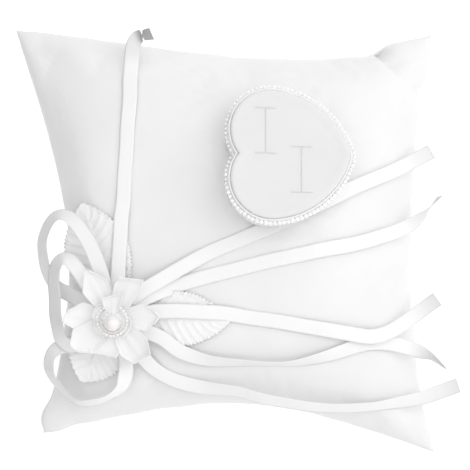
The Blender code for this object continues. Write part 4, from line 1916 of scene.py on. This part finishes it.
@dataclass
class Ribbons:
    """Six tails and three bow loops of the corsage."""

    shape: CushionShape
    routes: dict[str, Route] = field(default_factory=lambda: ROUTES)
    painted_shades: dict[str, Pairs] = field(default_factory=lambda: PAINTED_SHADES)
    folded: str = "ribbon_tail_1"
    fold: float = 42.0
    loop_lean: float = 0.8

    def build(self, finishes: Wardrobe) -> list[Piece]:
        """Make every ribbon.

        Args:
            finishes: The finishes.

        Returns:
            The pieces.
        """
        pieces = []
        for name, route in self.routes.items():
            end = FarEnd.SEWN_IN if name.startswith("bow") else FarEnd.CUT
            lean = self.loop_lean if end is FarEnd.SEWN_IN else 1.0
            # Each ribbon's painted shade from the table, plain where the table lists none.
            painted_shades = self.painted_shades.get(name, ((0.0, 1.0),))
            fold = self.fold if name == self.folded else 0.0
            ribbon = Ribbon(name, route, end, painted_shades=painted_shades, lean=lean, fold=fold)
            pieces.append(ribbon.build(self.shape, finishes.ribbon))
        return pieces


# Painted shade along a ribbon, as pairs of a share of its length and a tone: turned-over ends, ends past the
# cushion's edge and the shadowed strands of the bow loops are darkened to stand in for shade.
PAINTED_SHADES: dict[str, Pairs] = {
    "ribbon_tail_1": ((0.84, 1.0), (0.88, 0.9), (0.94, 0.8), (0.955, 0.5), (1.0, 0.46)),
    "ribbon_tail_2": ((0.9, 1.0), (0.95, 0.92), (1.0, 0.86)),
    "ribbon_tail_3": ((0.86, 1.0), (0.91, 0.9), (1.0, 0.78)),
    "ribbon_tail_4": ((0.88, 1.0), (0.94, 0.9), (1.0, 0.76)),
    "ribbon_tail_5": ((0.88, 1.0), (0.93, 0.88), (1.0, 0.6)),
    "ribbon_tail_6": ((0.88, 1.0), (0.95, 0.9), (1.0, 0.8)),
    "bow_loop_1": (
        (0.0, 0.97),
        (0.12, 0.94),
        (0.3, 0.9),
        (0.4, 0.88),
        (0.5, 0.85),
        (0.64, 0.86),
        (0.74, 0.97),
    ),
    "bow_loop_2": ((0.16, 1.0), (0.3, 0.88), (0.38, 0.82), (0.66, 0.82), (0.78, 0.97)),
    "bow_loop_3": ((0.1, 1.0), (0.3, 0.92), (0.5, 0.9), (0.7, 1.0)),
}

# A route point is (x, y, lift above the level it lies on, roll in degrees).
ROUTES: dict[str, Route] = {
    "ribbon_tail_1": (
        (-0.0505, -0.025, 0.007, 0),
        (-0.05, -0.02, 0.0056, 0),
        (-0.05, -0.013, 0.0032, 0),
        (-0.0495, -0.005, 0.0022, 0),
        (-0.049, 0.003, 0.002, 0),
        (-0.0485, 0.0115, 0.0018, 0),
        (-0.0475, 0.0195, 0.0012, 0),
        (-0.047, 0.031, 0.0009, 0),
        (-0.046, 0.043, 0.0009, 0),
        (-0.0455, 0.0545, 0.0009, 0),
        (-0.0445, 0.0665, 0.0009, 0),
        (-0.0445, 0.0765, 0.0009, 0),
        (-0.044, 0.085, 0.0012, 0),
        (-0.0435, 0.0905, 0.0015, 5),
        (-0.0425, 0.094, 0.0015, 30),
        (-0.0405, 0.0965, 0.001, 70),
        (-0.037, 0.0975, 0, 110),
        (-0.0345, 0.098, -0.001, 125),
    ),
    "ribbon_tail_2": (
        (-0.0445, -0.027, 0.0072, 0),
        (-0.0405, -0.0245, 0.0064, 0),
        (-0.036, -0.0215, 0.005, 0),
        (-0.0275, -0.0165, 0.0032, 0),
        (-0.019, -0.0115, 0.002, 0),
        (-0.007, -0.005, 0.001, 0),
        (0.005, 0, 0.0007, 0),
        (0.0165, 0.005, 0.0007, 0),
        (0.028, 0.01, 0.0007, 0),
        (0.0395, 0.0155, 0.0007, 0),
        (0.0505, 0.0205, 0.0007, 0),
        (0.0585, 0.0245, 0.0008, 0),
        (0.068, 0.0285, 0.0009, 0),
        (0.079, 0.033, 0.001, 0),
        (0.088, 0.0375, 0.001, 0),
        (0.0975, 0.0425, -0.001, 0),
    ),
    "ribbon_tail_3": (
        (-0.048, -0.032, 0.007, 0),
        (-0.042, -0.029, 0.006, 0),
        (-0.0365, -0.026, 0.0045, 0),
        (-0.029, -0.023, 0.0022, 0),
        (-0.019, -0.0195, 0.0009, 0),
        (-0.007, -0.016, 0.0008, 0),
        (0.005, -0.013, 0.0008, 0),
        (0.0185, -0.0095, 0.0008, 0),
        (0.0325, -0.0065, 0.0008, 0),
        (0.0465, -0.0035, 0.0008, 0),
        (0.061, -0.001, 0.0008, 0),
        (0.0755, 0.003, 0.001, 0),
        (0.084, 0.006, 0.001, 10),
        (0.0905, 0.01, 0.001, 40),
        (0.0955, 0.0145, 0, 75),
        (0.099, 0.0185, -0.001, 95),
        (0.1015, 0.0215, -0.002, 100),
    ),
    "ribbon_tail_4": (
        (-0.048, -0.0345, 0.0062, 0),
        (-0.041, -0.0335, 0.0055, 0),
        (-0.0345, -0.033, 0.0042, 0),
        (-0.027, -0.0325, 0.003, 0),
        (-0.0185, -0.0325, 0.0025, 0),
        (-0.009, -0.033, 0.0022, 0),
        (0, -0.0335, 0.0016, 0),
        (0.012, -0.0355, 0.001, 0),
        (0.0235, -0.037, 0.001, 0),
        (0.035, -0.039, 0.001, 0),
        (0.047, -0.041, 0.0014, 0),
        (0.0585, -0.043, 0.0022, 0),
        (0.068, -0.0445, 0.0026, -10),
        (0.076, -0.043, 0.0024, -15),
        (0.0825, -0.0395, 0.002, -10),
        (0.089, -0.035, 0.0015, 0),
        (0.1, -0.027, 0, 0),
    ),
    "ribbon_tail_5": (
        (-0.0485, -0.037, 0.0054, 0),
        (-0.042, -0.0395, 0.0048, 0),
        (-0.0355, -0.0425, 0.004, 0),
        (-0.029, -0.0455, 0.003, 0),
        (-0.0225, -0.0505, 0.0026, 0),
        (-0.016, -0.0535, 0.0024, 10),
        (-0.006, -0.056, 0.0026, 30),
        (0.006, -0.0565, 0.003, 45),
        (0.019, -0.057, 0.0032, 55),
        (0.0305, -0.057, 0.0028, 50),
        (0.042, -0.055, 0.0018, 30),
        (0.053, -0.052, 0.001, 10),
        (0.0615, -0.049, 0.0009, 0),
        (0.069, -0.0475, 0.0009, 0),
        (0.078, -0.048, 0.001, 0),
        (0.086, -0.05, 0.001, 0),
        (0.092, -0.052, 0.001, 20),
        (0.098, -0.055, 0, 60),
        (0.1035, -0.0595, -0.002, 80),
    ),
    "ribbon_tail_6": (
        (-0.05, -0.0385, 0.0046, 0),
        (-0.046, -0.0435, 0.0042, 0),
        (-0.0425, -0.0485, 0.004, 0),
        (-0.0375, -0.0555, 0.0028, 0),
        (-0.032, -0.061, 0.0012, 0),
        (-0.0235, -0.0655, 0.001, 0),
        (-0.0115, -0.0685, 0.0012, 10),
        (-0.002, -0.0695, 0.0025, 30),
        (0.007, -0.0705, 0.004, 40),
        (0.0175, -0.0735, 0.005, 42),
        (0.0285, -0.0755, 0.0045, 45),
        (0.04, -0.0775, 0.0038, 46),
        (0.0545, -0.0785, 0.003, 46),
        (0.0685, -0.078, 0.0024, 38),
        (0.083, -0.076, 0.0016, 22),
        (0.0935, -0.074, 0.001, 8),
        (0.102, -0.071, 0, 0),
        (0.1105, -0.068, -0.001, 0),
    ),
    "bow_loop_1": (
        (-0.055, -0.0255, 0.0096, 0),
        (-0.056, -0.021, 0.0098, 0),
        (-0.0575, -0.0155, 0.0102, 0),
        (-0.06, -0.008, 0.011, 5),
        (-0.063, -0.001, 0.012, 10),
        (-0.0665, 0.005, 0.013, 20),
        (-0.0695, 0.009, 0.014, 35),
        (-0.073, 0.012, 0.0145, 50),
        (-0.077, 0.0125, 0.0145, 60),
        (-0.0805, 0.0105, 0.013, 62),
        (-0.0835, 0.006, 0.011, 62),
        (-0.0855, 0, 0.0085, 60),
        (-0.0855, -0.006, 0.006, 55),
        (-0.0845, -0.0125, 0.004, 50),
        (-0.082, -0.018, 0.0025, 40),
        (-0.078, -0.0225, 0.002, 20),
        (-0.073, -0.025, 0.002, 0),
        (-0.066, -0.029, 0.0028, 0),
        (-0.06, -0.0325, 0.0038, 0),
    ),
    "bow_loop_2": (
        (-0.0585, -0.0285, 0.0082, 0),
        (-0.0615, -0.0245, 0.009, 0),
        (-0.065, -0.0185, 0.0105, 0),
        (-0.069, -0.0125, 0.011, 10),
        (-0.0725, -0.0085, 0.0115, 30),
        (-0.076, -0.008, 0.012, 50),
        (-0.079, -0.0115, 0.012, 48),
        (-0.08, -0.0185, 0.011, 44),
        (-0.0795, -0.0265, 0.01, 42),
        (-0.0795, -0.034, 0.009, 42),
        (-0.0785, -0.0405, 0.008, 40),
        (-0.077, -0.046, 0.007, 35),
        (-0.073, -0.049, 0.006, 15),
        (-0.069, -0.048, 0.0052, 0),
        (-0.064, -0.0445, 0.0046, 0),
        (-0.0585, -0.04, 0.0046, 0),
    ),
    "bow_loop_3": (
        (-0.057, -0.038, 0.003, 0),
        (-0.0625, -0.043, 0.003, 0),
        (-0.069, -0.047, 0.003, 5),
        (-0.0755, -0.049, 0.0034, 20),
        (-0.08, -0.051, 0.004, 35),
        (-0.0825, -0.0545, 0.005, 48),
        (-0.083, -0.059, 0.006, 52),
        (-0.0815, -0.064, 0.0065, 70),
        (-0.078, -0.0685, 0.007, 74),
        (-0.074, -0.073, 0.0075, 78),
        (-0.0685, -0.076, 0.008, 80),
        (-0.0615, -0.0755, 0.008, 75),
        (-0.0555, -0.0735, 0.008, 84),
        (-0.0505, -0.0705, 0.007, 70),
        (-0.0475, -0.0665, 0.0055, 38),
        (-0.0465, -0.0605, 0.0045, 8),
        (-0.047, -0.054, 0.0022, 0),
        (-0.0495, -0.0475, 0.002, 0),
        (-0.0525, -0.043, 0.0022, 0),
    ),
}


# ---------------------------------------------------------------- shared mesh work


def mesh_lists(work: bmesh.types.BMesh) -> tuple[list[Vector], Faces]:
    """Points and faces of a bmesh, which is freed.

    Args:
        work: The bmesh.

    Returns:
        The points and the faces.
    """
    work.verts.index_update()
    points = [v.co.copy() for v in work.verts]
    faces = [tuple(v.index for v in f.verts) for f in work.faces]
    work.free()
    return points, faces


def evenly(path: Sequence[Vector], pitch: float) -> list[Vector]:
    """Spots at an even pitch along a closed path.

    Args:
        path: Points round the path.
        pitch: Wanted distance from spot to spot.

    Returns:
        The spots.
    """
    closed = [*path, path[0]]
    runs = [0.0]
    for a, b in zip(closed, closed[1:]):
        runs.append(runs[-1] + (b - a).length)
    count = round(runs[-1] / pitch)
    spots = []
    k = 0
    for number in range(count):
        want = runs[-1] * number / count
        while runs[k + 1] < want:
            k += 1
        share = (want - runs[k]) / (runs[k + 1] - runs[k])
        spots.append(closed[k].lerp(closed[k + 1], share))
    return spots


def add_torus(work: bmesh.types.BMesh, frame: Matrix, radius: float, thin: float) -> None:
    """Add a ring of round wire to a bmesh.

    Args:
        work: The bmesh.
        frame: Where the ring's axis stands.
        radius: Radius of the ring.
        thin: Radius of the wire.
    """
    around, section = 48, 8
    rows = []
    for i in range(around):
        turn = 2 * math.pi * i / around
        row = []
        for j in range(section):
            spin = 2 * math.pi * j / section
            reach = radius + thin * math.cos(spin)
            place = (reach * math.cos(turn), reach * math.sin(turn), thin * math.sin(spin))
            row.append(work.verts.new(frame @ Vector(place)))
        rows.append(row)
    for low, high in zip(rows, rows[1:] + rows[:1]):
        for j in range(section):
            k = (j + 1) % section
            work.faces.new((low[j], low[k], high[k], high[j]))


def turned(name: str, profile: Pairs, sides: int, frame: Matrix, finish: Finish) -> Piece:
    """Turn a profile of radius and height round the Z axis of a frame.

    Args:
        name: Name of the piece.
        profile: Radius and height of each point, its first and last on the axis.
        sides: Points round the axis.
        frame: Where the axis stands.
        finish: The material.

    Returns:
        The piece.
    """
    points = [frame @ Vector((0, 0, profile[0][1]))]
    for radius, z in profile[1:-1]:
        for i in range(sides):
            turn = 2 * math.pi * i / sides
            points.append(frame @ Vector((radius * math.cos(turn), radius * math.sin(turn), z)))
    points.append(frame @ Vector((0, 0, profile[-1][1])))
    last = len(points) - 1
    faces: Faces = []
    for i in range(sides):
        j = (i + 1) % sides
        faces.append((0, 1 + i, 1 + j))
        faces.append((last, last - sides + j, last - sides + i))
        for k in range(len(profile) - 3):
            low, high = 1 + k * sides, 1 + (k + 1) * sides
            faces.append((low + i, high + i, high + j, low + j))
    return add_piece(name, points, faces, finish)


def soften(piece: Piece, levels: int) -> None:
    """Round a piece with subdivision and apply it.

    Args:
        piece: The piece.
        levels: How often its faces are split.
    """
    made = piece.modifiers.new("rounded", "SUBSURF")
    made.levels = made.render_levels = levels
    apply_modifiers(piece)


def apply_modifiers(piece: Piece) -> None:
    """Turn a piece's modifiers into its mesh.

    Args:
        piece: The piece.
    """
    graph = bpy.context.evaluated_depsgraph_get()
    done = bpy.data.meshes.new_from_object(piece.evaluated_get(graph))
    piece.modifiers.clear()
    old = piece.data
    piece.data = done
    bpy.data.meshes.remove(old)


# ---------------------------------------------------------------- studio


@dataclass
class Studio:
    """Floor, light and camera."""

    camera_at: tuple[float, float, float] = (4.8 * MM, 3.1 * MM, 1.03)
    field_width: float = 0.2256
    distance: float = 1.0
    floor_side: float = 3.0
    ambient: float = 0.79
    key_power: float = 1.95
    overhead_power: float = 5.2
    overhead_side: float = 1.6
    flag_at: float = -0.4
    flag_side: float = 1.6
    flag_height: float = 0.19
    key_at: tuple[float, float, float] = (0.66, 0.25, 0.8)
    key_side: float = 0.8

    def build(self) -> None:
        """Set up the whole studio."""
        self.build_camera()
        self.build_light()
        self.build_floor()
        self.build_flag()

    def build_camera(self) -> None:
        """Make the camera that looks straight down on the cushion."""
        data = bpy.data.cameras.new("camera")
        data.sensor_width = 36.0
        data.lens = 36.0 * self.distance / self.field_width
        camera = stand("camera", data)
        camera.location = self.camera_at
        bpy.context.scene.camera = camera

    def build_light(self) -> None:
        """Make the even white surround and the soft key light from the right."""
        scene = bpy.context.scene
        scene.view_settings.view_transform = "Standard"
        world = bpy.data.worlds.new("surround")
        world.use_nodes = True
        sky = world.node_tree.nodes["Background"]
        sky.inputs["Color"].default_value = (1, 1, 1, 1)
        sky.inputs["Strength"].default_value = self.ambient
        scene.world = world
        self.add_light("key", self.key_at, self.key_side, self.key_power)
        self.add_light("overhead", (0, 0, 1.5), self.overhead_side, self.overhead_power)

    @staticmethod
    def add_light(name: str, at: tuple[float, float, float], side: float, power: float) -> None:
        """Add a soft square light aimed at the cushion.

        Args:
            name: The light's name.
            at: Where it stands.
            side: Length of its sides.
            power: Its power in watts.
        """
        data = bpy.data.lights.new(name, "AREA")
        data.energy = power
        data.size = side
        light = stand(name, data)
        light.location = at
        light.rotation_euler = (Vector((0, 0, 0.05)) - Vector(at)).to_track_quat("-Z", "Y").to_euler()

    def build_floor(self) -> None:
        """Make the plain pale floor."""
        half = self.floor_side / 2
        low = -0.1 * MM
        corners = [(-half, -half, low), (half, -half, low), (half, half, low), (-half, half, low)]
        self.add_sheet("floor", corners, 0.3, 0.86)

    def build_flag(self) -> None:
        """Make the dark card that keeps stray light off the left side."""
        x, half, top = self.flag_at, self.flag_side / 2, self.flag_height
        corners = [(x, -half, 0), (x, half, 0), (x, half, top), (x, -half, top)]
        self.add_sheet("dark_card", corners, 0.03, 0.0, seen=False)

    @staticmethod
    def add_sheet(
        name: str,
        corners: Sequence[tuple[float, float, float]],
        tone: float,
        glow: float,
        seen: bool = True,
    ) -> None:
        """Add a plain flat sheet to the studio.

        Args:
            name: The sheet's name.
            corners: Its four corners.
            tone: How pale it is.
            glow: Light that it gives itself.
            seen: Whether it shows in a view, or only shades what it stands beside.
        """
        shader = Shader(f"{name}_paper")
        shader.surface.inputs["Base Color"].default_value = (tone, tone, tone, 1)
        shader.surface.inputs["Emission Color"].default_value = (1, 1, 1, 1)
        shader.surface.inputs["Emission Strength"].default_value = glow
        shader.constant(roughness=0.9, specular=0.1)
        data = plain_mesh(name, corners, [(0, 1, 2, 3)])
        data.materials.append(shader.material)
        sheet = stand(name, data)
        sheet.visible_camera = seen


# ---------------------------------------------------------------- main


def dress_hidden(frame: dict, finishes: Wardrobe) -> None:
    """Give the glue pad, the one node that stays, its finish.

    Args:
        frame: The loaded frame.
        finishes: The finishes.
    """
    for place in frame["nodes"]["heart_glue_pad"].material_slots:
        place.material = finishes.glue


def main() -> None:
    """Build the ring bearer pillow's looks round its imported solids."""
    logging.basicConfig(level=logging.INFO, format="%(message)s")
    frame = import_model()
    Studio().build()
    finishes = Wardrobe()
    shape = CushionShape()
    for group in (Cushion(shape), RingHeart(shape), Corsage(shape), Ribbons(shape)):
        for piece in group.build(finishes):
            LOG.info("%s: %d faces", piece.name, len(piece.data.polygons))
    dress_hidden(frame, finishes)


if __name__ == "__main__":
    main()
